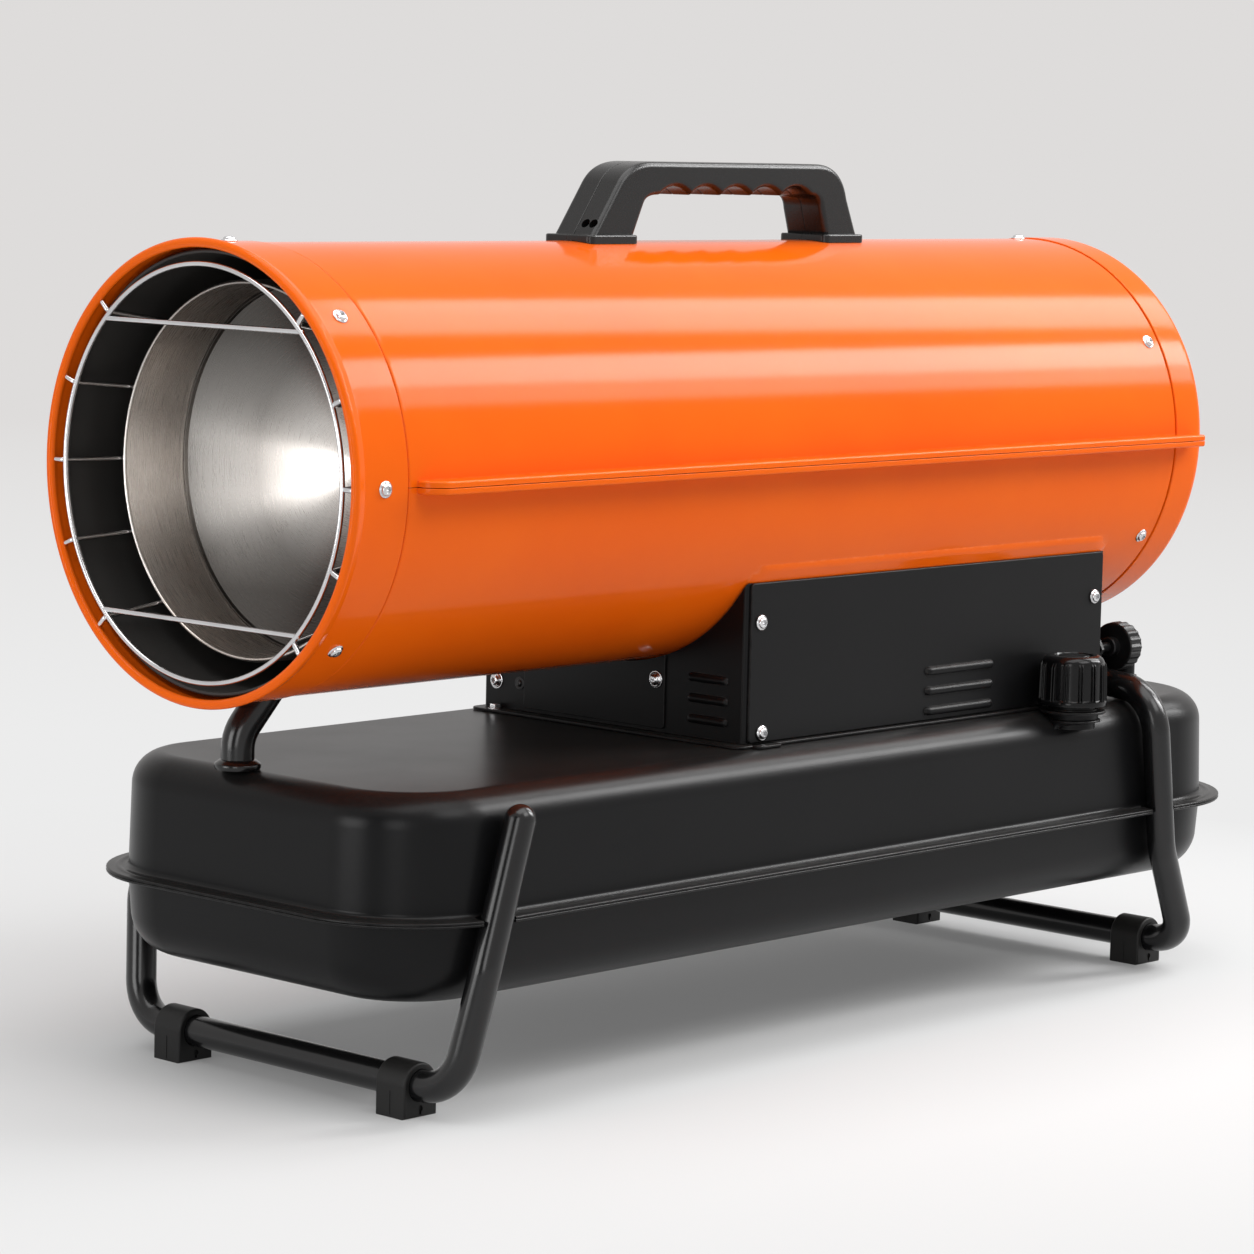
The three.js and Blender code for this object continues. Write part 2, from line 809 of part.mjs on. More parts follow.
function fan() {
  const middle = (fanFront + fanRear) / 2;
  const parts = [
    turned('x', [
      [fanFront, 0],
      [fanFront, hubRadius - 2],
      [fanFront + 2, hubRadius],
      [fanRear - 4, hubRadius],
      [fanRear, hubRadius - 5],
      [fanRear, 0],
    ], [0, 0, axisHeight], roundFacets),
    bar('x', shaftRadius, motorRear - 40, fanFront + 1, [0, 0, axisHeight]),
  ];
  const blade = fanBlade();
  for (let i = 0; i < fanBlades; i += 1) {
    parts.push(blade.rotate([(360 / fanBlades) * i, 0, 0]).translate([middle, 0, axisHeight]));
  }
  const ring = barrelTurned([
    [fanFront - 12, fanRadius + 3],
    [fanFront - 12, fanRadius + 40],
    [fanRear + 40, fanRadius + 40],
    [fanRear + 40, fanRadius],
    [fanFront - 12, fanRadius],
    [fanFront - 12, fanRadius + 3],
  ], 48);
  return cut(join(...parts), ring);
}

function fanMotor() {
  const bore = shaftRadius + runningGap;
  const boreEnd = motorRear - 42;
  const body = turned('x', [
    [motorFront, 0],
    [motorFront, motorRadius - 14],
    [motorFront + 4, motorRadius - 8],
    [motorFront + 12, motorRadius - 3],
    [motorFront + 13, motorRadius],
    [motorRear - 13, motorRadius],
    [motorRear - 12, motorRadius - 3],
    [motorRear - 4, motorRadius - 8],
    [motorRear, 14],
    [motorRear, bore],
    [boreEnd, bore],
    [boreEnd, 0],
  ], [0, 0, axisHeight], 20);
  const vents = [];
  for (let i = 0; i < 6; i += 1) {
    const vent = block(motorRear - 9, -3, 22, motorRear + 1, 3, 32);
    vents.push(vent.rotate([i * 60, 0, 0]).translate([0, 0, axisHeight]));
  }
  return cut(body, ...vents);
}

// Spider bracket: a clamp ring round the motor on three arms that stand in the lower shell.
function motorBracket() {
  const from = motorRear - 52;
  const width = 24;
  const thick = 3;
  const clamp = barrelTurned([
    [from, motorRadius + seatGap],
    [from, motorRadius + seatGap + thick],
    [from + width, motorRadius + seatGap + thick],
    [from + width, motorRadius + seatGap],
    [from, motorRadius + seatGap],
  ], 32);
  const outer = shellInner - seatGap;
  const parts = [clamp];
  for (const angle of [-60, 0, 60]) {
    const arm = join(
      block(from + 4, -1.5, -outer + 2, from + width - 4, 1.5, -motorRadius - 1.5),
      block(from, -10, -outer - 2, from + width, 10, -outer + 3.5),
    );
    parts.push(arm.rotate([angle, 0, 0]).translate([0, 0, axisHeight]));
  }
  return join(...parts).intersect(barrelBar(outer, from - 1, from + width + 1));
}

function airPump() {
  const to = motorFront - seatGap;
  const from = to - pumpLength;
  const body = turned('x', [
    [from, 0],
    [from, pumpRadius - 6],
    [from + 6, pumpRadius - 6],
    [from + 6, pumpRadius],
    [to - 4, pumpRadius],
    [to, motorRadius - 14],
    [to, 0],
  ], [0, 0, axisHeight], roundFacets);
  const port = bar('z', 6, 20, pumpRadius + 8, [from + 26, 0, axisHeight]);
  return join(body, port);
}

function pumpFilter() {
  const to = pumpFront - seatGap;
  const from = to - 20;
  const cover = turned('x', [
    [from, 0],
    [from, pumpRadius - 12],
    [from + 5, pumpRadius - 7],
    [to, pumpRadius - 7],
    [to, 0],
  ], [0, 0, axisHeight], roundFacets);
  const slits = [];
  for (let i = -2; i <= 2; i += 1) {
    slits.push(block(from - 1, -14, axisHeight + i * 7 - 1.2, from + 2, 14, axisHeight + i * 7 + 1.2));
  }
  return cut(cover, ...slits);
}

// Intake grille: wire rings on spokes, held inside the rear band.
function intakeGrille() {
  const plane = barrelRear - rearNose - 4;
  const outer = barrelRadius - sheet - seatGap - facetSag - grilleWire;
  const pitch = outer / grilleRings;
  const parts = [];
  for (let i = 1; i <= grilleRings; i += 1) {
    const ring = new THREE.TorusGeometry(i * pitch, grilleWire, 4, i > 2 ? 24 : 12);
    parts.push(solid(along('x', ring)).translate([plane, 0, axisHeight]));
  }
  for (let i = 0; i < grilleSpokes; i += 1) {
    const spoke = bar('z', grilleWire, 0, outer, [0, 0, 0], 4);
    parts.push(spoke.rotate([(360 / grilleSpokes) * i, 0, 0]).translate([plane - grilleWire, 0, axisHeight]));
  }
  return join(...parts);
}

// ---------------------------------------------------------------- tank

// One ring of the tank: the plan outline drawn in by inset, at height z.
function tankRing(inset, z) {
  const x0 = tankFront + inset;
  const x1 = tankRear - inset;
  const y1 = tankHalfWidth + tankFlange - inset;
  const front = Math.max(tankCorner - inset, 4);
  const rear = Math.max(tankRearCorner - inset, 4);
  const steps = 4;
  return [
    ...arcPoints(x1 - rear, y1 - rear, rear, 0, 90, steps),
    ...arcPoints(x0 + front, y1 - front, front, 90, 180, steps),
    ...arcPoints(x0 + front, front - y1, front, 180, 270, steps),
    ...arcPoints(x1 - rear, rear - y1, rear, 270, 360, steps),
  ].map(([x, y]) => [x, y, z]);
}

// A pressed half of the tank, from its closed face to its flange and back inside.
// Face is the height of the closed face, seam the height of the flange's mating face.
function tankHalf(face, seam, shoulder) {
  const up = Math.sign(face - seam);
  const faceInset = tankFlange + tankDraft;
  const rounded = (radius, skin) => {
    const rings = [];
    for (let i = 0; i <= 3; i += 1) {
      const angle = (Math.PI / 2) * (i / 3);
      rings.push([
        faceInset + skin + radius * (1 - Math.sin(angle)),
        face - up * (skin + radius * (1 - Math.cos(angle))),
      ]);
    }
    return rings;
  };
  const flange = seam + up * tankFlangeThick;
  const path = [
    ...rounded(shoulder, 0),
    [tankFlange + 0.2, flange + up * 2.4],
    [tankFlange - 1.8, flange + up * 0.4],
    [1, flange],
    [0, flange - up * 0.5],
    [0, seam],
    [tankFlange + tankWall, seam],
    ...rounded(shoulder - tankWall, tankWall).reverse(),
  ];
  return loft(path.map(([inset, z]) => tankRing(inset, z)));
}

// Notches in the flange, where the leg tubes run up the tank's wall.
function legNotches() {
  const half = legTube + notchGap;
  const notches = [];
  for (const side of [-1, 1]) {
    for (const path of [frontLegPath(), rearLegPath()]) {
      const below = path.findIndex(({ at }) => at.z < tankSeam);
      const [high, low] = [path[below - 1].at, path[below].at];
      const at = high.clone().lerp(low, (high.z - tankSeam) / (high.z - low.z));
      const edges = [side * (tankHalfWidth + 0.1), side * (tankHalfWidth + 2 * tankFlange)].sort((a, b) => a - b);
      notches.push(block(at.x - half, edges[0], tankSeam - 6, at.x + half, edges[1], tankSeam + 6));
    }
  }
  return notches;
}

function tankUpper() {
  const seam = tankSeam + 0.1;
  const body = tankHalf(tankTop, seam, tankShoulder);
  const neckBoss = turned('z', [
    [tankTop - 40, 0],
    [tankTop - 38, 6],
    [tankTop - 30, 13],
    [tankTop - 20, bossRadius],
    [tankTop - bossDrop - 1, bossRadius],
    [tankTop - bossDrop, bossRadius - 1],
    [tankTop - bossDrop, 0],
  ], [capX, capY, 0]);
  const supportBoss = bar('z', collarRadius + 1.5, tankTop - 12, tankTop, [supportX, supportY, 0], roundFacets);
  const skin = tankFlange + tankDraft + tankWall;
  const inside = loft([
    tankRing(skin, tankSeam - 1),
    tankRing(skin, tankTop - tankShoulder),
    tankRing(skin + 6, tankTop - 6),
    tankRing(skin + 16, tankTop - tankWall),
  ]);
  const neckSeat = bar('z', bossRadius, tankTop - 12, tankTop, [capX, capY, 0], roundFacets);
  const bosses = cut(join(neckBoss, supportBoss), cut(inside, neckSeat));
  return cut(
    join(body, bosses),
    bar('z', neckRadius + seatGap, tankTop - neckDepth - seatGap, tankTop + 10, [capX, capY, 0], roundFacets),
    bar('z', neckRadius - neckWall, tankTop - 20, tankTop + 10, [capX, capY, 0], roundFacets),
    bar('z', neckRadius + 2 + seatGap, tankTop - bossDrop, tankTop + 10, [capX, capY, 0], roundFacets),
    bar('z', pickupRadius + seatGap, tankTop - 20, tankTop + 10, [pickupX, pickupY, 0]),
    ...legNotches(),
  );
}

const bossRadius = neckRadius + 3.2;
const bossDrop = 3.4; // the boss round the neck sits on the tank's shoulder, below its top

function tankLower() {
  const seam = tankSeam - 0.1;
  return cut(tankHalf(tankBottom, seam, tankBelly), ...legNotches());
}

function fillerNeck() {
  const from = tankTop - neckDepth;
  const collar = tankTop - bossDrop + seatGap;
  const to = tankTop + neckRise;
  const bore = neckRadius - neckWall;
  const tube = turned('z', [
    [from, bore],
    [from, neckRadius],
    [collar, neckRadius],
    [collar, neckRadius + 2],
    [collar + 2, neckRadius + 2],
    [collar + 2, neckRadius],
    [to, neckRadius],
    [to, bore],
    [from, bore],
  ], [capX, capY, 0]);
  return tube;
}

function capGasket() {
  const from = tankTop + neckRise + seatGap;
  return turned('z', [
    [from, neckRadius - neckWall],
    [from, neckRadius],
    [from + 2, neckRadius],
    [from + 2, neckRadius - neckWall],
    [from, neckRadius - neckWall],
  ], [capX, capY, 0]);
}

// Screw cap: a ribbed cup with a lip, held over the neck.
function fuelCap() {
  const lip = tankTop + capLift;
  const top = lip + capHeight;
  const skirt = capRadius - 1.6;
  const bore = neckRadius + runningGap;
  const roof = tankTop + neckRise + 2 + 2 * seatGap;
  const cup = turned('z', [
    [lip, bore],
    [lip, capRadius],
    [lip + 3, capRadius],
    [lip + 4, skirt],
    [top - 4, skirt - 0.4],
    [top, skirt - 4.5],
    [top, skirt - 7.5],
    [top - 0.8, skirt - 8.2],
    [top - 0.8, 0],
    [roof, 0],
    [roof, bore],
    [lip, bore],
  ], [capX, capY, 0], 2 * capRibs);
  const ribs = [];
  for (let i = 0; i < capRibs; i += 1) {
    const rib = block(skirt - 2, -1.3, lip + 3.4, capRadius - 0.2, 1.3, top - 4.6);
    ribs.push(rib.rotate([0, 0, (360 / capRibs) * i]).translate([capX, capY, 0]));
  }
  return join(cup, ...ribs);
}

function pickupFitting() {
  const seat = tankTop + seatGap;
  const stem = turned('z', [
    [tankBottom + tankWall + 4, 0],
    [tankBottom + tankWall + 4, pickupRadius],
    [seat, pickupRadius],
    [seat, 8],
    [seat + 3, 8],
    [seat + 3, 6.5],
    [seat + 19, 6.5],
    [seat + 20, 5.5],
    [seat + 20, 0],
  ], [pickupX, pickupY, 0], 12);
  const barb = bar('y', 4.2, 0, 12, [pickupX, pickupY, fuelLineZ]);
  return join(stem, barb);
}

const fuelLineZ = tankTop + 13;
const fuelLineY = -55;

function fuelFilter() {
  const from = tankBottom + tankWall + 2;
  const hole = pickupRadius + seatGap;
  return turned('z', [
    [from, 0],
    [from, filterRadius - 2],
    [from + 2, filterRadius],
    [from + filterHeight - 3, filterRadius],
    [from + filterHeight, filterRadius - 5],
    [from + filterHeight, hole],
    [from + 2 - seatGap, hole],
    [from + 2 - seatGap, 0],
  ], [pickupX, pickupY, 0], 20);
}

// The line runs from the fitting through the control box and up to the nozzle.
function fuelLine() {
  const path = bentPath([
    new THREE.Vector3(pickupX, pickupY + 12 + seatGap, fuelLineZ),
    new THREE.Vector3(pickupX, fuelLineY, fuelLineZ),
    new THREE.Vector3(boxFront + 28, fuelLineY, fuelLineZ),
    new THREE.Vector3(boxFront + 28, -6, fuelLineZ + 8),
    new THREE.Vector3(riserX, 0, fuelLineZ + 12),
    new THREE.Vector3(riserX, 0, axisHeight),
    new THREE.Vector3(chamberRear - 16 + nozzleLength + seatGap, 0, axisHeight),
  ], 8, 4);
  return rod(path, fuelLineRadius, 8);
}

// ---------------------------------------------------------------- control box

function basePlate() {
  const plate = prism('z', roundedRectangle(
    boxFront - baseRim,
    -boxNear - baseRim,
    boxRear + baseRim,
    boxFar + baseRim - 1,
    6,
  ), boxFloor, boxFloor + baseThick);
  const tab = prism('z', roundedRectangle(boxFront + 2, -boxNear - 9, boxFront + 23, -boxNear, 3), boxFloor, boxFloor + baseThick);
  return join(plate, tab);
}

// A formed louvre: a rounded hood over a slot, running along Y or X.
// Hood and slot are made along Z at the origin, rising towards +Y.
function louvreHood(length, grow, drop) {
  const radius = louvreHeight / 2 - grow;
  const rise = (louvreRise - grow) / (louvreHeight / 2 - grow);
  const half = length / 2 - louvreHeight / 2;
  const straight = bar('x', radius, -half, half, [0, 0, 0], 8);
  const ends = [-half, half].map((x) => solid(new THREE.SphereGeometry(radius, 8, 3).rotateZ(Math.PI / 2)).translate([x, 0, 0]));
  return join(straight, ...ends).scale([1, rise, 1]).translate([0, 0, -drop]);
}

// Adds louvres to a flat wall that faces -Y, one above the other.
function louvred(wall, middle, face, z, length) {
  const behind = block(middle - length, face + sheet * 0.5, z - 60, middle + length, face + 60, z + 60);
  let body = wall;
  for (let i = 0; i < louvreCount; i += 1) {
    const place = [middle, face + 0.4, z - i * louvrePitch];
    const hood = cut(louvreHood(length, 0, 0).translate(place), behind);
    body = join(body, hood);
    const slot = louvreHood(length, 1, 1.6).translate([middle, face + 0.4, z - i * louvrePitch]);
    body = cut(body, slot);
  }
  return body;
}

function sideCover() {
  const face = -boxNear;
  const back = -boxNear + sheet - 0.15;
  const plate = prism('y', roundedRectangle(
    boxFront + coverEdge,
    wallFloor,
    boxRear - coverEdge,
    boxHeightNear,
    2,
  ), face, back, 0.5);
  return louvred(plate, boxFront + sideLouvreFromFront + sideLouvreLength / 2, face, wallFloor + 29, sideLouvreLength);
}

// The housing: front, far and rear walls, and flanges that the side cover is screwed to.
function controlHousing() {
  const near = -boxNear + sheet;
  const ring = prism('z', roundedRectangle(boxFront, near, boxRear, boxFar, boxCorner), wallFloor, axisHeight);
  const hollow = prism('z', roundedRectangle(
    boxFront + sheet,
    near + sheet,
    boxRear - sheet,
    boxFar - sheet,
    boxCorner - sheet + 0.2,
  ), wallFloor - 1, axisHeight + 1);
  const flange = 14;
  const nearGap = block(boxFront + flange, near - 1, wallFloor - 1, boxRear - flange, near + 8, axisHeight + 1);
  const barrel = barrelBar(boxTopRadius, boxFront - 20, boxRear + 20);
  const trim = block(boxFront - 20, near - 20, boxHeightNear, boxRear + 20, near + 9, axisHeight + 20);
  const window = block(
    boxFront - 1,
    frontCoverNear + 6,
    wallFloor + 8,
    boxFront + sheet + 1,
    frontCoverFar - 6,
    wallFloor + 26,
  );
  const rear = [boxRear - sheet - 1, boxRear + 1];
  const holes = [
    bar('x', bushRadius - 1.5 + seatGap, ...rear, [0, knobY, knobZ]),
    prism('x', rectangle(switchY - switchWidth / 2, switchZ - switchHeight, switchY + switchWidth / 2, switchZ + switchHeight), ...rear),
    prism('x', rectangle(inletY - inletWidth / 2, switchZ - inletHeight / 2, inletY + inletWidth / 2, switchZ + inletHeight / 2), ...rear),
    bar('x', fuelLineRadius + runningGap, ...rear, [0, fuelLineY, fuelLineZ]),
  ];
  const walls = cut(ring, hollow, nearGap, barrel, trim, window, ...holes);
  const frontFacing = walls.rotate([0, 0, 90]);
  const y = (-boxNear + frontCoverNear) / 2 - 2;
  const withLouvres = louvred(frontFacing, -y, boxFront, wallFloor + 34, frontLouvreLength);
  return withLouvres.rotate([0, 0, -90]);
}

const frontCoverNear = -40;
const frontCoverFar = 72;

function frontCover() {
  const plate = prism('x', roundedRectangle(frontCoverNear, wallFloor + 2, frontCoverFar, axisHeight, 2), boxFront - 1.3, boxFront - 0.15);
  return cut(plate, barrelBar(boxTopRadius, boxFront - 20, boxFront + 20));
}

function ignitionTransformer() {
  const z = wallFloor;
  const x = boxRear - 62;
  const core = block(x - 78, 24, z, x, 84, z + 30);
  const coil = prism('x', roundedRectangle(32, z + 8, 76, z + 36, 6), x - 68, x - 10);
  const terminals = [40, 66].map((y) => bar('x', 4, x - 100, x - 77, [0, y, z + 18], 10));
  return join(core, coil, ...terminals);
}

function controlBoard() {
  const z = wallFloor;
  const lift = 8;
  const x0 = boxFront + 60;
  const parts = [block(x0, -38, z + lift, x0 + 112, 14, z + lift + 1.8)];
  for (const x of [x0 + 5, x0 + 107]) {
    for (const y of [-33, 9]) {
      parts.push(bar('z', 3, z, z + lift + 1, [x, y, 0], 8));
    }
  }
  const chips = [[12, -30, 34, -12, 14], [44, -28, 72, -6, 10], [82, -30, 100, -10, 20], [20, -4, 54, 8, 8]];
  for (const [from, y0, to, y1, height] of chips) {
    parts.push(block(x0 + from, y0, z + lift + 1, x0 + to, y1, z + lift + 1 + height));
  }
  return join(...parts);
}

// ---------------------------------------------------------------- controls

function thermostat() {
  const wall = boxRear - sheet - seatGap;
  const hole = spindleRadius + runningGap;
  const end = boxRear + 7;
  const body = join(
    block(wall - 22, knobY - bushRadius + 1, knobZ - 14, wall, knobY + 18, knobZ + 14),
    bar('x', bushRadius - 1.5, wall - 2, end, [0, knobY, knobZ]),
  );
  return cut(body, bar('x', hole, boxRear - 12, end + 1, [0, knobY, knobZ]));
}

function bushNut() {
  const from = boxRear + seatGap;
  return turned('x', [
    [from, bushRadius - 1.5 + seatGap],
    [from, bushRadius + 2],
    [from + 3, bushRadius + 2],
    [from + 3, bushRadius - 1.5 + seatGap],
    [from, bushRadius - 1.5 + seatGap],
  ], [0, knobY, knobZ], 12);
}

// Knob with its spindle: a fluted disc.
function thermostatKnob() {
  const from = boxRear + knobStandoff;
  const to = from + knobDepth;
  const disc = turned('x', [
    [from, 0],
    [from, knobRadius - 2.5],
    [from + 1, knobRadius - 1.2],
    [to - 1.5, knobRadius - 1.2],
    [to, knobRadius - 3],
    [to, knobRadius - 6],
    [to - 1, knobRadius - 7],
    [to - 1, 0],
  ], [0, knobY, knobZ], 24);
  const collar = bar('x', 6, from - 5, from + 1, [0, knobY, knobZ]);
  const spindle = bar('x', spindleRadius, boxRear - 11, from + 1, [0, knobY, knobZ], 12);
  const ribs = [];
  for (let i = 0; i < 12; i += 1) {
    const rib = block(from + 1.2, -1, knobRadius - 3, to - 1.6, 1, knobRadius);
    ribs.push(rib.rotate([i * 30, 0, 0]).translate([0, knobY, knobZ]));
  }
  return join(disc, collar, spindle, ...ribs);
}

function switchFrame() {
  const w = switchWidth / 2;
  const face = rectangle(switchY - w - 2, switchZ - switchHeight - 2, switchY + w + 2, switchZ + switchHeight + 2);
  const bezel = prism('x', face, boxRear + 0.15, boxRear + 2.2);
  const body = block(boxRear - 20, switchY - w + seatGap, switchZ - switchHeight + seatGap, boxRear + 1, switchY + w - seatGap, switchZ + switchHeight - seatGap);
  const well = block(boxRear - 8, switchY - w + 2, switchZ - switchHeight + 2, boxRear + 3, switchY + w - 2, switchZ + switchHeight - 2);
  const pins = [-6, 0, 6].map((z) => block(boxRear - 27, switchY - 3, switchZ + z - 0.4, boxRear - 19, switchY + 3, switchZ + z + 0.4));
  return cut(join(bezel, body, ...pins), well);
}

// Rocker: two faces that meet in a valley over its pivot, with ends on a circle round the pivot,
// tilted to one side of the middle.
function switchRocker() {
  const pivot = boxRear - 1;
  const reach = switchHeight - 2 - seatGap;
  const crest = 3.2;
  const depth = 5;
  const onCircle = (u) => [u, Math.sqrt(reach ** 2 - u ** 2)];
  const upper = [[1, 0], onCircle(crest), onCircle(-0.5), onCircle(1 - depth), [-depth, 3]];
  const lower = upper.slice(1).map(([u, v]) => [u, -v]).reverse();
  const tilt = THREE.MathUtils.degToRad(-rockerTilt);
  const outline = polygon([...upper, ...lower].map(([u, v]) => [
    pivot + u * Math.cos(tilt) + v * Math.sin(tilt),
    switchZ - u * Math.sin(tilt) + v * Math.cos(tilt),
  ]));
  const w = switchWidth / 2 - 2 - runningGap;
  return prism('y', outline, switchY - w, switchY + w);
}

function powerInlet() {
  const w = inletWidth / 2;
  const h = inletHeight / 2;
  const flange = prism('x', roundedRectangle(inletY - w - 9, switchZ - h - 3, inletY + w + 9, switchZ + h + 3, 4), boxRear + 0.15, boxRear + 3);
  const body = block(boxRear - 24, inletY - w + seatGap, switchZ - h + seatGap, boxRear + 1, inletY + w - seatGap, switchZ + h - seatGap);
  const recess = block(boxRear - 15, inletY - w + 2.5, switchZ - h + 2.5, boxRear + 4, inletY + w - 2.5, switchZ + h - 2.5);
  const pins = [-7, 0, 7].map((y) => block(boxRear - 16, inletY + y - 1, switchZ - 2, boxRear - 2, inletY + y + 1, switchZ + 2));
  return join(cut(join(flange, body), recess), ...pins);
}

// ---------------------------------------------------------------- legs and feet

// The way of a leg frame: down one side of the tank, under it, and up the other side.
// Top is the near side's path down to the tank's wall; x1 and x2 are the places at the bends.
function legPath(top, x1, x2) {
  const bottomY = footY + footWidth / 2 + bendClearance;
  const near = [
    ...top,
    new THREE.Vector3(x1, -legWallY, tankBottom + tankBelly - 2),
    new THREE.Vector3(x2, -bottomY, crossbarHeight),
  ];
  const far = near.map(({ x, y, z }) => new THREE.Vector3(x, -y, z)).reverse();
  return bentPath([...near, ...far], legBend);
}

function frontLegPath() {
  const top = [new THREE.Vector3(frontFootX + frontLegTopLean, -legWallY, tankTop - 14)];
  return legPath(top, frontFootX + frontLegLean, frontFootX);
}

// The rear leg's tubes turn in over the tank behind the control box.
function rearLegPath() {
  const topZ = tankTop + legTube + seatGap + 0.9;
  const endX = boxRear + baseRim + legTube + 1.5;
  const top = [
    new THREE.Vector3(endX, -92, topZ),
    new THREE.Vector3(endX - 8, -legWallY, topZ - 2),
  ];
  return legPath(top, rearFootX - rearLegLean, rearFootX);
}

// A moulded foot: a square block with a round top, clipped round the crossbar.
function foot(x, side) {
  const half = footLength / 2;
  const shape = new THREE.Shape();
  shape.moveTo(x - half, 0);
  shape.lineTo(x + half, 0);
  shape.lineTo(x + half, crossbarHeight);
  shape.absarc(x, crossbarHeight, half, 0, Math.PI);
  shape.lineTo(x - half, 0);
  const body = prism('y', shape, side * footY - footWidth / 2, side * footY + footWidth / 2, 1.4);
  return cut(body, bar('y', legTube + footGap, side * footY - footWidth, side * footY + footWidth, [x, 0, crossbarHeight], 14));
}

// The barrel's front support: a bent tube on a collar.
function frontSupport() {
  const base = tankTop + seatGap;
  const path = bentPath([
    new THREE.Vector3(supportX, supportY, base),
    new THREE.Vector3(supportX, supportY, base + 0.45 * barrelStand),
    new THREE.Vector3(supportX + 21, supportY - 8, base + barrelStand + 10),
  ], 24);
  const tube = cut(rod(path, supportTube, 12), barrelBar(barrelRadius + seatGap, barrelFront, barrelFront + 120));
  const collar = turned('z', [
    [base, 0],
    [base, collarRadius - 0.5],
    [base + 1.5, collarRadius],
    [base + collarHeight - 2, collarRadius],
    [base + collarHeight, supportTube + 0.4],
    [base + collarHeight, 0],
  ], [supportX, supportY, 0]);
  return join(tube, collar);
}

// ---------------------------------------------------------------- handle

// Side outline of the handle in (x, z), as moulded, with five finger hollows.
function handleOutline() {
  const foot = barrelTop + 1;
  const gripLow = handleTop - 18.5;
  const shape = new THREE.Shape();
  shape.moveTo(handleFront + 4, foot);
  shape.lineTo(handleFront + 27, handleTop - 18);
  shape.quadraticCurveTo(handleFront + 36, handleTop, handleFront + 56, handleTop);
  shape.lineTo(handleRear - 40, handleTop);
  shape.quadraticCurveTo(handleRear - 18, handleTop, handleRear - 13, handleTop - 20);
  shape.lineTo(handleRear - 3, foot);
  shape.lineTo(handleRear - 32, foot);
  shape.lineTo(handleRear - 37, gripLow - 8);
  shape.quadraticCurveTo(handleRear - 38, gripLow, handleRear - 46, gripLow);
  const count = Math.floor((handleRear - 46 - (handleFront + 58)) / fingerPitch);
  const last = handleRear - 46 - count * fingerPitch;
  for (let i = 0; i < count; i += 1) {
    const x = handleRear - 46 - i * fingerPitch;
    shape.quadraticCurveTo(x - fingerPitch / 2, gripLow + 2 * fingerDepth, x - fingerPitch, gripLow);
  }
  shape.quadraticCurveTo(last - 8, gripLow - 2, handleFront + 46, gripLow - 8);
  shape.lineTo(handleFront + 36, foot);
  return shape;
}

function handleHalf(side) {
  const arch = prism('y', handleOutline(), -handleHalfWidth, handleHalfWidth, handleEdge);
  const padHalf = handleHalfWidth + handlePadFlare;
  const padTop = barrelTop - ringStep + handlePadRise;
  const pads = [[handleFront, handleFront + 40], [handleRear - 36, handleRear]].map(([x0, x1]) => (
    prism('z', roundedRectangle(x0, -padHalf, x1, padHalf, 4), padTop - 8, padTop, 0.8)
  ));
  const bodies = cut(join(arch, ...pads), barrelBar(shellOuter + seatGap, handleFront - 10, handleRear + 10));
  const keep = block(handleFront - 10, side > 0 ? 0.15 : -40, axisHeight, handleRear + 10, side > 0 ? 40 : -0.15, handleTop + 10);
  return bodies.intersect(keep);
}

// ---------------------------------------------------------------- assembly

add('front_ring', frontRing(), 'orange');
add('upper_shell', shellHalf(1), 'orange');
add('lower_shell', lowerShell(), 'orange');
add('rear_ring', rearRing(), 'orange');
add('outlet_liner', outletLiner(), 'linerBlack');
add('outlet_guard', outletGuard(), 'wire');
add('combustion_chamber', combustionChamber(), 'steel');
add('flame_dish', flameDish(), 'steel');
add('burner_head', burnerHead(), 'steel');
add('spray_nozzle', nozzle(), 'brass');
add('igniter', igniter(), 'ceramic');
add('flame_eye', flameEye(), 'blackPlastic');
add('fan', fan(), 'aluminium');
add('fan_motor', fanMotor(), 'blackSteel');
add('motor_bracket', motorBracket(), 'blackSteel');
add('air_pump', airPump(), 'aluminium');
add('pump_filter', pumpFilter(), 'blackPlastic');
add('intake_grille', intakeGrille(), 'blackSteel');
add('tank_upper', tankUpper(), 'blackSteel');
add('tank_lower', tankLower(), 'blackSteel');
add('filler_neck', fillerNeck(), 'blackSteel');
add('cap_gasket', capGasket(), 'rubber');
add('fuel_cap', fuelCap(), 'blackPlastic');
add('pickup_fitting', pickupFitting(), 'brass');
add('fuel_filter', fuelFilter(), 'blackPlastic');
add('fuel_line', fuelLine(), 'blackSteel');
add('base_plate', basePlate(), 'blackSteel');
add('control_housing', controlHousing(), 'blackSteel');
add('side_cover', sideCover(), 'blackSteel');
add('front_cover', frontCover(), 'blackSteel');
add('ignition_transformer', ignitionTransformer(), 'blackSteel');
add('control_board', controlBoard(), 'greenBoard');
add('thermostat', thermostat(), 'blackPlastic');
add('bush_nut', bushNut(), 'steel');
add('thermostat_knob', thermostatKnob(), 'blackPlastic');
add('switch_frame', switchFrame(), 'blackPlastic');
add('switch_rocker', switchRocker(), 'blackPlastic');
add('power_inlet', powerInlet(), 'blackPlastic');
add('front_leg', rod(frontLegPath(), legTube, 12, true), 'blackGloss');
add('rear_leg', rod(rearLegPath(), legTube, 12, true), 'blackGloss');
for (const [end, x] of [['front', frontFootX], ['rear', rearFootX]]) {
  add(`${end}_foot_near`, foot(x, -1), 'rubber');
  add(`${end}_foot_far`, foot(x, 1), 'rubber');
}
add('front_support', frontSupport(), 'blackGloss');
add('handle_near', handleHalf(-1), 'blackPlastic');
add('handle_far', handleHalf(1), 'blackPlastic');

export default heater;
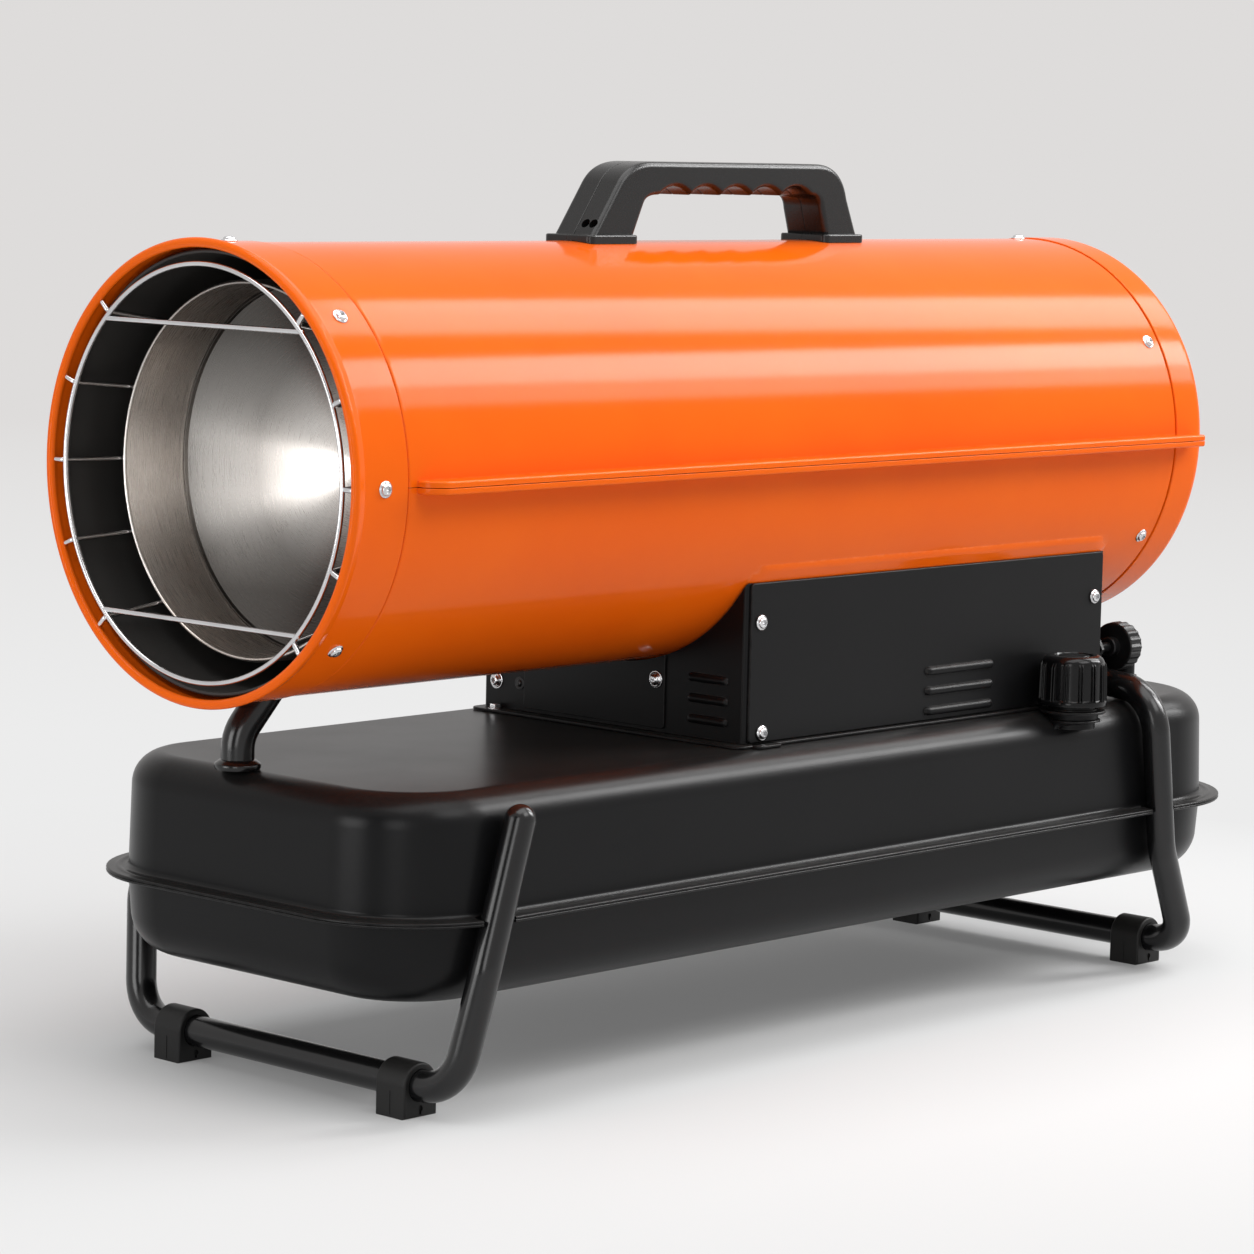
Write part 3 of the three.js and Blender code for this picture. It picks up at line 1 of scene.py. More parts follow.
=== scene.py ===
import math
import bpy
import bmesh
from mathutils import Matrix, Quaternion, Vector


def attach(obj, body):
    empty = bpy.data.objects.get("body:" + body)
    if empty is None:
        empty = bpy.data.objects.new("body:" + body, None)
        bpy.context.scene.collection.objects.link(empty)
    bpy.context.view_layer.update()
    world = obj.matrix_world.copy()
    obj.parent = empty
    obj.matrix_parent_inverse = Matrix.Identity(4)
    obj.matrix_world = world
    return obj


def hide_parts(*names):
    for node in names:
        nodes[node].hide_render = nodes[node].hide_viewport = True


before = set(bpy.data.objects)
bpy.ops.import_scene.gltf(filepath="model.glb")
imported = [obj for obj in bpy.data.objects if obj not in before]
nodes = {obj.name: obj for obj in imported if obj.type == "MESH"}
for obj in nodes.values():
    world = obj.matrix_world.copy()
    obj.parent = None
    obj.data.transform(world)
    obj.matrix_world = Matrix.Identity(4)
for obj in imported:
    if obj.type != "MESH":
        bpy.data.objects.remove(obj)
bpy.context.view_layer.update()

# Forced air heater: a round barrel over a flat tank on bent tube legs.
# Sizes are in millimetres, in the frame of the solids; each mesh is scaled to metres as it becomes a piece.

scene = bpy.context.scene
mm = 0.001
axisHeight = 332.0  # the barrel's axis over the floor


# shapes

def arcPoints(u, v, radius, start, end, steps):
    turns = [math.radians(start + (end - start) * i / steps) for i in range(steps + 1)]
    return [(u + radius * math.cos(a), v + radius * math.sin(a)) for a in turns]


# angles of a whole turn, and of a quarter with both its ends
def around(count):
    return [2 * math.pi * i / count for i in range(count)]


def quarter(steps):
    return [math.pi / 2 * i / steps for i in range(steps + 1)]


def circle(u, v, radius, count):
    return [(u + radius * math.cos(a), v + radius * math.sin(a)) for a in around(count)]


def hexagon(u, v, reach, turn=0):
    angles = [math.radians(60 * i + turn) for i in range(6)]
    return [(u + reach * math.cos(a), v + reach * math.sin(a)) for a in angles]


def roundedRectangle(u0, v0, u1, v1, radius, steps=6):
    return (arcPoints(u1 - radius, v1 - radius, radius, 0, 90, steps)
            + arcPoints(u0 + radius, v1 - radius, radius, 90, 180, steps)
            + arcPoints(u0 + radius, v0 + radius, radius, 180, 270, steps)
            + arcPoints(u1 - radius, v0 + radius, radius, 270, 360, steps))


def onAxis(axis, along, u, v):
    return {"x": Vector((along, u, v)), "y": Vector((u, along, v)), "z": Vector((u, v, along))}[axis]


# faces between rings of equal length
def skin(bm, rings, loop=False, capped=True, closed=True):
    grid = [[bm.verts.new(point) for point in ring] for ring in rings]
    count = len(grid[0])
    for i in range(len(grid) if loop else len(grid) - 1):
        here, there = grid[i], grid[(i + 1) % len(grid)]
        for j in range(count if closed else count - 1):
            k = (j + 1) % count
            bm.faces.new((here[j], here[k], there[k], there[j]))
    if capped and not loop:
        bm.faces.new(list(reversed(grid[0])))
        bm.faces.new(grid[-1])


# closed profile of (along, radius) turned round an axis, all the way or between two angles
def revolve(bm, axis, profile, centre=(0, 0, 0), segments=96, start=0, end=360):
    whole = abs(end - start) >= 360
    rings = []
    for i in range(segments if whole else segments + 1):
        a = math.radians(start + (end - start) * i / segments)
        rings.append([onAxis(axis, along, radius * math.cos(a), radius * math.sin(a)) + Vector(centre)
                      for along, radius in profile])
    skin(bm, rings, loop=whole)


# outline of (u, v) points raised between two places, its rims rounded by easing the outline inwards
def prism(bm, axis, outline, start, end, ease=0.0, startEase=None, steps=4):
    startEase = ease if startEase is None else startEase
    layers = []
    if startEase:
        layers += [(startEase * (1 - math.sin(a)), start + startEase * (1 - math.cos(a))) for a in quarter(steps)]
    else:
        layers.append((0, start))
    if ease:
        layers += [(ease * (1 - math.cos(a)), end - ease * (1 - math.sin(a))) for a in quarter(steps)]
    else:
        layers.append((0, end))
    skin(bm, [[onAxis(axis, along, u, v) for u, v in easeIn(outline, inset)] for inset, along in layers])


# the outline moved inwards by a distance
def easeIn(outline, inset):
    if not inset:
        return outline
    area = sum(a[0] * b[1] - b[0] * a[1] for a, b in zip(outline, outline[1:] + outline[:1]))
    side = 1 if area > 0 else -1
    moved = []
    for i, point in enumerate(outline):
        here = Vector(point)
        before = (here - Vector(outline[i - 1])).normalized()
        after = (Vector(outline[(i + 1) % len(outline)]) - here).normalized()
        way = Vector((-(before.y + after.y), before.x + after.x)) * side
        if way.length < 1e-6:
            way = Vector((-before.y, before.x)) * side
        way.normalize()
        square = Vector((-before.y, before.x)) * side
        moved.append(tuple(here + way * inset / max(way.dot(square), 0.5)))
    return moved


def block(bm, low, high, ease=0.0):
    outline = [(low[0], low[1]), (high[0], low[1]), (high[0], high[1]), (low[0], high[1])]
    prism(bm, "z", outline, low[2], high[2], ease)


# points and headings along straight runs joined by bends
def bentPath(points, bend, steps=12):
    points = [Vector(p) for p in points]
    headings = [(b - a).normalized() for a, b in zip(points, points[1:])]
    places = [(points[0], headings[0])]
    for i in range(1, len(points) - 1):
        into, out = headings[i - 1], headings[i]
        turn = into.angle(out)
        start = points[i] - into * bend * math.tan(turn / 2)
        hinge = into.cross(out).normalized()
        spoke = -hinge.cross(into) * bend
        centre = start - spoke
        count = max(2, round(steps * turn / (math.pi / 2)))
        for k in range(count + 1):
            spin = Quaternion(hinge, turn * k / count)
            places.append((centre + spin @ spoke, spin @ into))
    places.append((points[-1], headings[-1]))
    return places


# round bar along a path, its ends flat or domed
def sweep(bm, path, radius, sides=24, domed=False):
    normal = Vector((0, 0, 1)).cross(path[0][1])
    if normal.length < 0.1:
        normal = Vector((1, 0, 0))
    normal.normalize()
    rings = []

    def ring(at, way, size):
        side = way.cross(normal)
        rings.append([at + size * (normal * math.cos(a) + side * math.sin(a)) for a in around(sides)])

    domes = [84, 72, 60, 48, 36, 24, 12] if domed else []
    at, way = path[0]
    for angle in domes:
        a = math.radians(angle)
        ring(at - way * radius * math.sin(a), way, radius * math.cos(a))
    before = way
    for at, way in path:
        normal = before.rotation_difference(way) @ normal
        ring(at, way, radius)
        before = way
    for angle in reversed(domes):
        a = math.radians(angle)
        ring(at + way * radius * math.sin(a), way, radius * math.cos(a))
    skin(bm, rings)


# mesh left after cutters are taken away
def carve(bm, *cutters):
    stock = temporary(bm)
    tools = [temporary(cutter) for cutter in cutters]
    for tool in tools:
        cut = stock.modifiers.new("cut", "BOOLEAN")
        cut.solver = "EXACT"
        cut.object = tool
    bpy.context.view_layer.update()
    left = bpy.data.meshes.new_from_object(stock.evaluated_get(bpy.context.evaluated_depsgraph_get()))
    result = bmesh.new()
    result.from_mesh(left)
    for item in [stock] + tools:
        mesh = item.data
        bpy.data.objects.remove(item)
        bpy.data.meshes.remove(mesh)
    bpy.data.meshes.remove(left)
    return result


def temporary(bm):
    clean(bm)
    return addObject("stock", toMesh(bm, "stock"))


# a mesh of one shape, such as a tool to carve with
def solid(make, *values, **more):
    bm = bmesh.new()
    make(bm, *values, **more)
    return bm


def bar(axis, start, end, radius, centre, segments):
    return solid(revolve, axis, [(start, 0), (end, 0), (end, radius), (start, radius)], centre, segments)


# joins corners that meet, drops slivers and turns every face outwards
def clean(bm, slivers=True):
    bmesh.ops.remove_doubles(bm, verts=bm.verts, dist=1e-4)
    if slivers:
        bmesh.ops.dissolve_degenerate(bm, edges=bm.edges, dist=1e-5)
    bmesh.ops.recalc_face_normals(bm, faces=bm.faces)


def toMesh(bm, name):
    mesh = bpy.data.meshes.new(name)
    bm.to_mesh(mesh)
    bm.free()
    return mesh


def addObject(name, data):
    item = bpy.data.objects.new(name, data)
    scene.collection.objects.link(item)
    return item


# makes a mesh a piece of the heater: its finish, the solid it stands for and the body it moves with
def makePiece(name, bm, look, standsFor=(), body="heater", crease=32):
    clean(bm)
    bmesh.ops.scale(bm, vec=(mm, mm, mm), verts=bm.verts)
    mesh = toMesh(bm, name)
    mesh.shade_smooth()
    piece = addObject(name, mesh)
    material, slotName = looks[look]
    mesh.materials.append(material)
    mesh.set_sharp_from_angle(angle=math.radians(crease))
    flat = piece.modifiers.new("flatFaces", "WEIGHTED_NORMAL")  # large faces stay flat up to their rounded edges
    flat.mode = "FACE_AREA"
    flat.keep_sharp = True
    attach(piece, body)
    if standsFor:
        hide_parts(*([standsFor] if isinstance(standsFor, str) else standsFor))


# copies of a small mesh set at a place, its Z along a direction
def setAt(bm, template, place, direction, spin=0.0, size=1.0):
    aim = Vector((0, 0, 1)).rotation_difference(Vector(direction)).to_matrix().to_4x4()
    move = Matrix.Translation(Vector(place)) @ aim @ Matrix.Rotation(math.radians(spin), 4, "Z") @ Matrix.Scale(size, 4)
    before = len(bm.verts)
    bm.from_mesh(template)
    bm.verts.ensure_lookup_table()
    bmesh.ops.transform(bm, matrix=move, verts=bm.verts[before:])


def asMesh(bm):
    clean(bm, slivers=False)
    return toMesh(bm, "small")


# adds a closed part to a mesh, moved first where a matrix is given
def addPart(bm, part, move=None):
    if move is not None:
        bmesh.ops.transform(part, matrix=move, verts=part.verts)
    bm.from_mesh(asMesh(part))


# shader groups

def colour(r, g, b):
    return tuple(c / 12.92 if c <= 0.04045 else ((c + 0.055) / 1.055) ** 2.4
                 for c in (r / 255, g / 255, b / 255)) + (1.0,)


def newGroup(name, takes, gives):
    group = bpy.data.node_groups.new(name, "ShaderNodeTree")
    for socketName, kind, value in takes:
        group.interface.new_socket(name=socketName, in_out="INPUT", socket_type=kind).default_value = value
    for socketName, kind in gives:
        group.interface.new_socket(name=socketName, in_out="OUTPUT", socket_type=kind)
    return group, group.nodes.new("NodeGroupInput"), group.nodes.new("NodeGroupOutput")


# node with settings, its sockets filled by values or links
def addNode(tree, kind, settings=None, **sockets):
    node = tree.nodes.new(kind)
    for key, value in (settings or {}).items():
        setattr(node, key, value)
    for key, value in sockets.items():
        fill(tree, node.inputs[int(key[1:]) if key[0] == "i" and key[1:].isdigit() else key], value)
    return node


def fill(tree, socket, value):
    if isinstance(value, bpy.types.NodeSocket):
        tree.links.new(value, socket)
    else:
        socket.default_value = value


def maths(tree, operation, a, b=0.0, clamp=False):
    return addNode(tree, "ShaderNodeMath", {"operation": operation, "use_clamp": clamp}, i0=a, i1=b).outputs[0]


def times(tree, a, b, clamp=False):
    return maths(tree, "MULTIPLY", a, b, clamp)


def plus(tree, a, b, clamp=False):
    return maths(tree, "ADD", a, b, clamp)


def blendColours(tree, share, a, b, kind="MIX"):
    node = addNode(tree, "ShaderNodeMix", {"data_type": "RGBA", "blend_type": kind})
    fill(tree, node.inputs[0], share)
    fill(tree, node.inputs[6], a)
    fill(tree, node.inputs[7], b)
    return node.outputs[2]


def spread(tree, value, low, high, toLow, toHigh):
    node = addNode(tree, "ShaderNodeMapRange")
    for i, v in enumerate((value, low, high, toLow, toHigh)):
        fill(tree, node.inputs[i], v)
    return node.outputs[0]


def objectPlace(tree):
    return addNode(tree, "ShaderNodeTexCoord").outputs["Object"]


def combined(tree, x, y, z=0.0):
    return addNode(tree, "ShaderNodeCombineXYZ", X=x, Y=y, Z=z).outputs[0]


def vectorMaths(tree, operation, *values):
    sockets = {f"i{i}": value for i, value in enumerate(values)}
    return addNode(tree, "ShaderNodeVectorMath", {"operation": operation}, **sockets).outputs


def noise(tree, where, scale, detail=3.0, rough=0.55):
    return addNode(tree, "ShaderNodeTexNoise", Vector=where, Scale=scale, Detail=detail, Roughness=rough).outputs["Fac"]


# fine moulded or coated grain: a height and a roughness that wander
def grainGroup():
    group, takes, gives = newGroup("fineGrain", [
        ("Scale", "NodeSocketFloat", 900.0), ("Roughness", "NodeSocketFloat", 0.4), ("Drift", "NodeSocketFloat", 0.1),
    ], [("Height", "NodeSocketFloat"), ("Roughness", "NodeSocketFloat")])
    where = objectPlace(group)
    fine = noise(group, where, takes.outputs["Scale"], 2.0, 0.6)
    wide = noise(group, where, 14.0, 3.0)
    cells = noise(group, where, times(group, takes.outputs["Scale"], 0.21), 1.0)
    fill(group, gives.inputs["Height"], plus(group, fine, times(group, cells, 0.4)))
    swing = times(group, maths(group, "SUBTRACT", wide, 0.5), takes.outputs["Drift"])
    speck = times(group, maths(group, "SUBTRACT", fine, 0.5), times(group, takes.outputs["Drift"], 0.8))
    wander = plus(group, swing, speck)
    fill(group, gives.inputs["Roughness"], plus(group, takes.outputs["Roughness"], wander, True))
    return group


# colour that drifts slowly between two shades
def tintGroup():
    group, takes, gives = newGroup("tintDrift", [
        ("Color", "NodeSocketColor", (0.5, 0.5, 0.5, 1)), ("Shade", "NodeSocketColor", (0.4, 0.4, 0.4, 1)),
        ("Scale", "NodeSocketFloat", 9.0),
    ], [("Color", "NodeSocketColor")])
    where = objectPlace(group)
    share = spread(group, noise(group, where, takes.outputs["Scale"], 4.0), 0.35, 0.7, 0.0, 1.0)
    fill(group, gives.inputs["Color"], blendColours(group, share, takes.outputs["Color"], takes.outputs["Shade"]))
    return group


dustColour = colour(186, 182, 174)


# light dust that settles on what faces up
def dustGroup():
    group, takes, gives = newGroup("dustFall", [
        ("Color", "NodeSocketColor", (0.5, 0.5, 0.5, 1)), ("Amount", "NodeSocketFloat", 0.1),
    ], [("Color", "NodeSocketColor"), ("Mask", "NodeSocketFloat")])
    up = addNode(group, "ShaderNodeSeparateXYZ",
                 Vector=addNode(group, "ShaderNodeNewGeometry").outputs["Normal"]).outputs["Z"]
    facing = spread(group, up, 0.35, 1.0, 0.0, 1.0)
    where = objectPlace(group)
    patch = times(group, noise(group, where, 22.0, 5.0), noise(group, where, 420.0, 2.0))
    mask = times(group, times(group, facing, patch), takes.outputs["Amount"], True)
    fill(group, gives.inputs["Mask"], mask)
    fill(group, gives.inputs["Color"], blendColours(group, mask, takes.outputs["Color"], dustColour))
    return group


# outer edges, rubbed brighter in patches
def rubGroup():
    group, takes, gives = newGroup("edgeRub", [
        ("Color", "NodeSocketColor", (0.1, 0.1, 0.1, 1)), ("Worn", "NodeSocketColor", (0.3, 0.3, 0.3, 1)),
        ("Amount", "NodeSocketFloat", 0.5),
    ], [("Color", "NodeSocketColor"), ("Mask", "NodeSocketFloat")])
    soft = addNode(group, "ShaderNodeBevel", {"samples": 4}, Radius=0.0012).outputs["Normal"]
    flat = addNode(group, "ShaderNodeNewGeometry").outputs["Normal"]
    turn = vectorMaths(group, "DOT_PRODUCT", soft, flat)["Value"]
    where = objectPlace(group)
    edge = spread(group, turn, 0.995, 0.9, 0.0, 1.0)
    patch = spread(group, noise(group, where, 160.0, 4.0), 0.35, 0.65, 0.0, 1.0)
    mask = times(group, times(group, edge, patch), takes.outputs["Amount"], True)
    fill(group, gives.inputs["Mask"], mask)
    fill(group, gives.inputs["Color"], blendColours(group, mask, takes.outputs["Color"], takes.outputs["Worn"]))
    return group


# brush marks drawn out along one direction: small stretch values give long marks
def brushGroup():
    group, takes, gives = newGroup("brushMarks", [
        ("Stretch", "NodeSocketVector", (40.0, 900.0, 900.0)), ("Roughness", "NodeSocketFloat", 0.3),
        ("Drift", "NodeSocketFloat", 0.3),
    ], [("Height", "NodeSocketFloat"), ("Roughness", "NodeSocketFloat"), ("Tone", "NodeSocketFloat")])
    where = vectorMaths(group, "MULTIPLY", objectPlace(group), takes.outputs["Stretch"])[0]
    fine = noise(group, where, 1.0, 4.0, 0.7)
    broad = noise(group, where, 0.16, 3.0)
    fill(group, gives.inputs["Height"], fine)
    fill(group, gives.inputs["Tone"], spread(group, broad, 0.3, 0.7, 0.0, 1.0))
    mean = plus(group, times(group, fine, 0.5), times(group, broad, 0.5))
    swing = times(group, maths(group, "SUBTRACT", mean, 0.5), takes.outputs["Drift"])
    fill(group, gives.inputs["Roughness"], plus(group, takes.outputs["Roughness"], swing, True))
    return group


fineGrain = grainGroup()
tintDrift = tintGroup()
dustFall = dustGroup()
edgeRub = rubGroup()
brushMarks = brushGroup()
print("shader groups ready")


# materials

def useGroup(tree, group, **sockets):
    return addNode(tree, "ShaderNodeGroup", {"node_tree": group}, **sockets).outputs


def newMaterial(name, **values):
    material = bpy.data.materials.new(name)
    material.use_nodes = True
    tree = material.node_tree
    shader = tree.nodes["Principled BSDF"]
    for key, value in values.items():
        shader.inputs[key.replace("_", " ")].default_value = value
    return material, tree, shader


def addBump(tree, shader, height, distance):
    bump = addNode(tree, "ShaderNodeBump", Height=height, Distance=distance, Strength=1.0)
    fill(tree, shader.inputs["Normal"], bump.outputs["Normal"])


# painted or moulded surface: drifting tint, grain, rubbed edges and a breath of dust
def coatedMaterial(name, look):
    material, tree, shader = newMaterial(name, Metallic=0.0, Specular_IOR_Level=look.get("shine", 0.5),
                                         Coat_Weight=look.get("coat", 0.0),
                                         Coat_Roughness=look.get("coatRoughness", 0.1))
    tint = useGroup(tree, tintDrift, Color=look["colour"], Shade=look["shade"], Scale=look.get("driftScale", 9.0))
    base = tint["Color"]
    if look.get("rub"):
        base = useGroup(tree, edgeRub, Color=base, Worn=look["worn"], Amount=look["rub"])["Color"]
    dust = useGroup(tree, dustFall, Color=base, Amount=look.get("dust", 0.05))
    fill(tree, shader.inputs["Base Color"], dust["Color"])
    grain = useGroup(tree, fineGrain, Scale=look["grain"], Roughness=look["roughness"], Drift=look.get("drift", 0.08))
    fill(tree, shader.inputs["Roughness"], grain["Roughness"])
    addBump(tree, shader, grain["Height"], look["depth"])
    return material


# bare metal: brush marks, a tint that drifts, and heat colour where it is asked for
def metalMaterial(name, look):
    material, tree, shader = newMaterial(name, Metallic=1.0, Anisotropic=look.get("pull", 0.0))
    brush = useGroup(tree, brushMarks, Stretch=look["stretch"], Roughness=look["roughness"],
                     Drift=look.get("drift", 0.2))
    base = blendColours(tree, brush["Tone"], look["colour"], look["shade"])
    if "heat" in look:
        where = objectPlace(tree)
        patch = spread(tree, noise(tree, where, look["heatScale"], 3.0), 0.45, 0.75, 0.0, 0.8)
        base = blendColours(tree, patch, base, look["heat"])
    fill(tree, shader.inputs["Base Color"], base)
    fill(tree, shader.inputs["Roughness"], brush["Roughness"])
    addBump(tree, shader, brush["Height"], look["depth"])
    return material


paints = {
    "orangePaint": dict(colour=colour(232, 98, 12), shade=colour(228, 92, 10), grain=210.0, depth=0.000004,
                        roughness=0.12, drift=0.03, shine=0.1, rub=0.25, worn=colour(246, 140, 84), dust=0.01),
    "heatBlack": dict(colour=colour(34, 33, 32), shade=colour(42, 40, 38), grain=1500.0, depth=0.00004,
                      roughness=0.55, rub=0.5, worn=colour(70, 66, 62)),
    "blackSteel": dict(colour=colour(16, 16, 17), shade=colour(13, 13, 14), grain=2100.0, depth=0.00004,
                       roughness=0.36, drift=0.08, shine=0.16, rub=0.3, worn=colour(84, 82, 80), dust=0.05),
    "tankSteel": dict(colour=colour(16, 16, 17), shade=colour(14, 14, 15), grain=1500.0, depth=0.00003,
                      roughness=0.30, drift=0.08, shine=0.15, rub=0.28, worn=colour(84, 82, 80), dust=0.06),
    "glossTube": dict(colour=colour(13, 13, 14), shade=colour(16, 16, 17), grain=420.0, depth=0.00001, roughness=0.22,
                      drift=0.08, shine=0.4, coat=0.12, coatRoughness=0.12, rub=0.2, worn=colour(70, 70, 70),
                      dust=0.03),
    "blackPlastic": dict(colour=colour(17, 17, 18), shade=colour(21, 21, 22), shine=0.3, grain=2600.0, depth=0.00003,
                         roughness=0.34, rub=0.25, worn=colour(70, 69, 68), dust=0.03),
    "capPlastic": dict(colour=colour(9, 9, 10), shade=colour(11, 11, 12), shine=0.22, grain=900.0, depth=0.000006,
                       roughness=0.18, drift=0.05, coat=0.1, coatRoughness=0.08, rub=0.15, worn=colour(60, 60, 60),
                       dust=0.02),
    "handlePlastic": dict(colour=colour(19, 19, 19), shade=colour(17, 17, 17), shine=0.42, grain=2300.0,
                          depth=0.00004, roughness=0.27, drift=0.08, rub=0.35, worn=colour(84, 83, 82), dust=0.02),
    "rubber": dict(colour=colour(25, 25, 25), shade=colour(30, 29, 28), grain=1900.0, depth=0.00005, roughness=0.48,
                   shine=0.25, dust=0.05),
    "fuelHose": dict(colour=colour(28, 28, 28), shade=colour(33, 32, 31), grain=1200.0, depth=0.00003, roughness=0.4,
                     dust=0.06),
    "ceramic": dict(colour=colour(232, 226, 212), shade=colour(220, 210, 190), grain=700.0, depth=0.00002,
                    roughness=0.25, coat=0.6, coatRoughness=0.1),
    "boardGreen": dict(colour=colour(28, 92, 50), shade=colour(20, 76, 42), grain=1800.0, depth=0.00003,
                       roughness=0.35, driftScale=60.0),
}
metals = {
    "hotSteel": dict(colour=(0.82, 0.78, 0.74, 1), shade=(0.66, 0.62, 0.58, 1), stretch=(14.0, 520.0, 520.0),
                     roughness=0.27, drift=0.30, depth=0.00002, heat=(0.62, 0.50, 0.40, 1), heatScale=9.0, pull=0.5),
    "brightWire": dict(colour=(0.72, 0.72, 0.73, 1), shade=(0.60, 0.60, 0.61, 1), stretch=(300.0, 300.0, 300.0),
                       roughness=0.2, drift=0.2, depth=0.00001),
    "brass": dict(colour=(0.72, 0.50, 0.20, 1), shade=(0.58, 0.38, 0.15, 1), stretch=(90.0, 90.0, 1400.0),
                  roughness=0.28, depth=0.00001),
    "castAluminium": dict(colour=(0.58, 0.59, 0.60, 1), shade=(0.48, 0.49, 0.50, 1), stretch=(500.0, 500.0, 500.0),
                          roughness=0.42, drift=0.25, depth=0.00003),
    "screwSteel": dict(colour=(0.74, 0.74, 0.75, 1), shade=(0.62, 0.62, 0.63, 1), stretch=(700.0, 700.0, 700.0),
                       roughness=0.22, drift=0.2, depth=0.00001),
}
slotOf = {
    "orangePaint": "orange_paint", "heatBlack": "heat_black", "blackSteel": "black_steel", "tankSteel": "black_steel",
    "glossTube": "gloss_tube", "blackPlastic": "black_plastic", "capPlastic": "cap_plastic",
    "handlePlastic": "handle_plastic", "rubber": "rubber", "fuelHose": "fuel_hose", "ceramic": "ceramic",
    "boardGreen": "circuit_board", "hotSteel": "hot_steel", "brightWire": "bright_wire", "brass": "brass",
    "castAluminium": "fan_aluminium", "screwSteel": "bright_wire",
}


turning = {
    "spiral": 0.0012, "detail": (4.0, 0.65), "depth": 0.000003, "smoother": 0.05, "rougher": 0.07,  # turned marks
    "nick": (0.9, 0.88, 0.85, 1), "nickScale": 620.0, "nickSkew": 0.004, "nickTurn": 0.02, "nickShare": 0.22,
    "patchScale": 11.0, "ring": (0.15, 0.14, 0.13, 1), "rimShadeShare": 0.75, "paintedShade": (0.07, 0.065, 0.06, 1),  # heat tint patches, then the colours of the painted shade towards the dish's rim and by height
}


# steel turned in a lathe: its marks run round the barrel's axis and draw its gloss out across them; painted shade
# darkens it with height, and the dish towards its rim too
def turnedSteel(name, look):
    t = turning
    material, tree, shader = newMaterial(name, Metallic=1.0, Anisotropic=look["pull"])
    place = addNode(tree, "ShaderNodeSeparateXYZ", Vector=objectPlace(tree)).outputs
    rise = maths(tree, "SUBTRACT", place["Z"], axisHeight * mm)
    out = maths(tree, "SQRT", plus(tree, times(tree, place["Y"], place["Y"]), times(tree, rise, rise)))
    turn = maths(tree, "ARCTAN2", rise, place["Y"])
    across = plus(tree, out, place["X"])
    fine = noise(tree, combined(tree, across, times(tree, turn, t["spiral"])), look["marks"], *t["detail"])
    skewed = plus(tree, across, times(tree, turn, t["nickSkew"]))
    nicks = noise(tree, combined(tree, skewed, times(tree, turn, t["nickTurn"])), t["nickScale"], 2.0, 0.4)
    broad = noise(tree, objectPlace(tree), t["patchScale"], 3.0)
    steel = blendColours(tree, spread(tree, fine, 0.3, 0.7, 0.0, 1.0), look["shade"], look["colour"])
    steel = blendColours(tree, spread(tree, broad, 0.45, 0.7, 0.0, look["heatShare"]), steel, look["heat"])
    steel = blendColours(tree, spread(tree, nicks, 0.66, 0.7, 0.0, t["nickShare"]), steel, t["nick"])
    height = rise
    if "rimShadeFrom" in look:  # painted shade: the dish darkens towards its rim, and alike above and below its middle
        dark = spread(tree, out, look["rimShadeFrom"], look["rimShadeTo"], 0.0, t["rimShadeShare"])
        steel = blendColours(tree, dark, steel, t["ring"])
        height = maths(tree, "ABSOLUTE", rise)
    # painted shade: darker with height over the axis, and on the dish with distance above or below its middle
    paintedShade = spread(tree, height, look["paintedShadeFrom"], look["paintedShadeTop"], 0.0, look["paintedShadeShare"])
    steel = blendColours(tree, paintedShade, steel, t["paintedShade"])
    fill(tree, shader.inputs["Base Color"], steel)
    least, most = look["roughness"] - t["smoother"], look["roughness"] + t["rougher"]
    fill(tree, shader.inputs["Roughness"], spread(tree, fine, 0.3, 0.7, least, most))
    circling = vectorMaths(tree, "NORMALIZE", combined(tree, 0.0, times(tree, rise, -1.0), place["Y"]))[0]
    normal = addNode(tree, "ShaderNodeNewGeometry").outputs["Normal"]
    fill(tree, shader.inputs["Tangent"], vectorMaths(tree, "CROSS_PRODUCT", circling, normal)[0])
    addBump(tree, shader, fine, t["depth"])
    return material


turnedSteels = {
    "drumSteel": dict(colour=(0.86, 0.82, 0.78, 1), shade=(0.72, 0.68, 0.64, 1), heat=(0.66, 0.53, 0.43, 1),
                      heatShare=0.4, marks=3600.0, roughness=0.26, pull=0.8, paintedShadeFrom=0.03, paintedShadeTop=0.12,
                      paintedShadeShare=0.7),
    "dishSteel": dict(colour=(0.80, 0.77, 0.74, 1), shade=(0.68, 0.65, 0.62, 1), heat=(0.56, 0.46, 0.39, 1),
                      heatShare=0.3, marks=3200.0, roughness=0.28, pull=0.7, paintedShadeFrom=0.02, paintedShadeTop=0.07,
                      paintedShadeShare=0.85, rimShadeFrom=0.022, rimShadeTo=0.062),
}


looks = {name: (coatedMaterial(name, look), slotOf[name]) for name, look in paints.items()}
looks.update({name: (metalMaterial(name, look), slotOf[name]) for name, look in metals.items()})
looks.update({name: (turnedSteel(name, look), "hot_steel") for name, look in turnedSteels.items()})
print("materials ready:", len(looks))


# barrel

barrel = {
    "front": -389.0, "rear": 331.0, "radius": 120.0, "sheet": 1.6, "segments": 192,
    "frontBand": 38.0, "lipRadius": 2.6, "lipFlare": 2.0, "groove": 1.2, "rearBand": 30.0, "nose": 9.0, "noseRim": 3.0,
    "edge": 0.6, "step": 0.7, "lap": 8.0, "gap": 0.3, "halfGap": 0.15,
    "seam": 0.9,  # open joint between the front band and the casing
    "ledgeReach": 14.0, "ledgeThick": 3.4, "ledgeInset": 6.0, "ledgeOverlap": 15.0, "ledgeChamfer": 9.0,
}
barrel["shellRadius"] = barrel["radius"] - barrel["step"]
barrel["shellFront"] = barrel["front"] + barrel["frontBand"] + barrel["seam"]
barrel["shellRear"] = barrel["rear"] - barrel["rearBand"] - barrel["gap"]


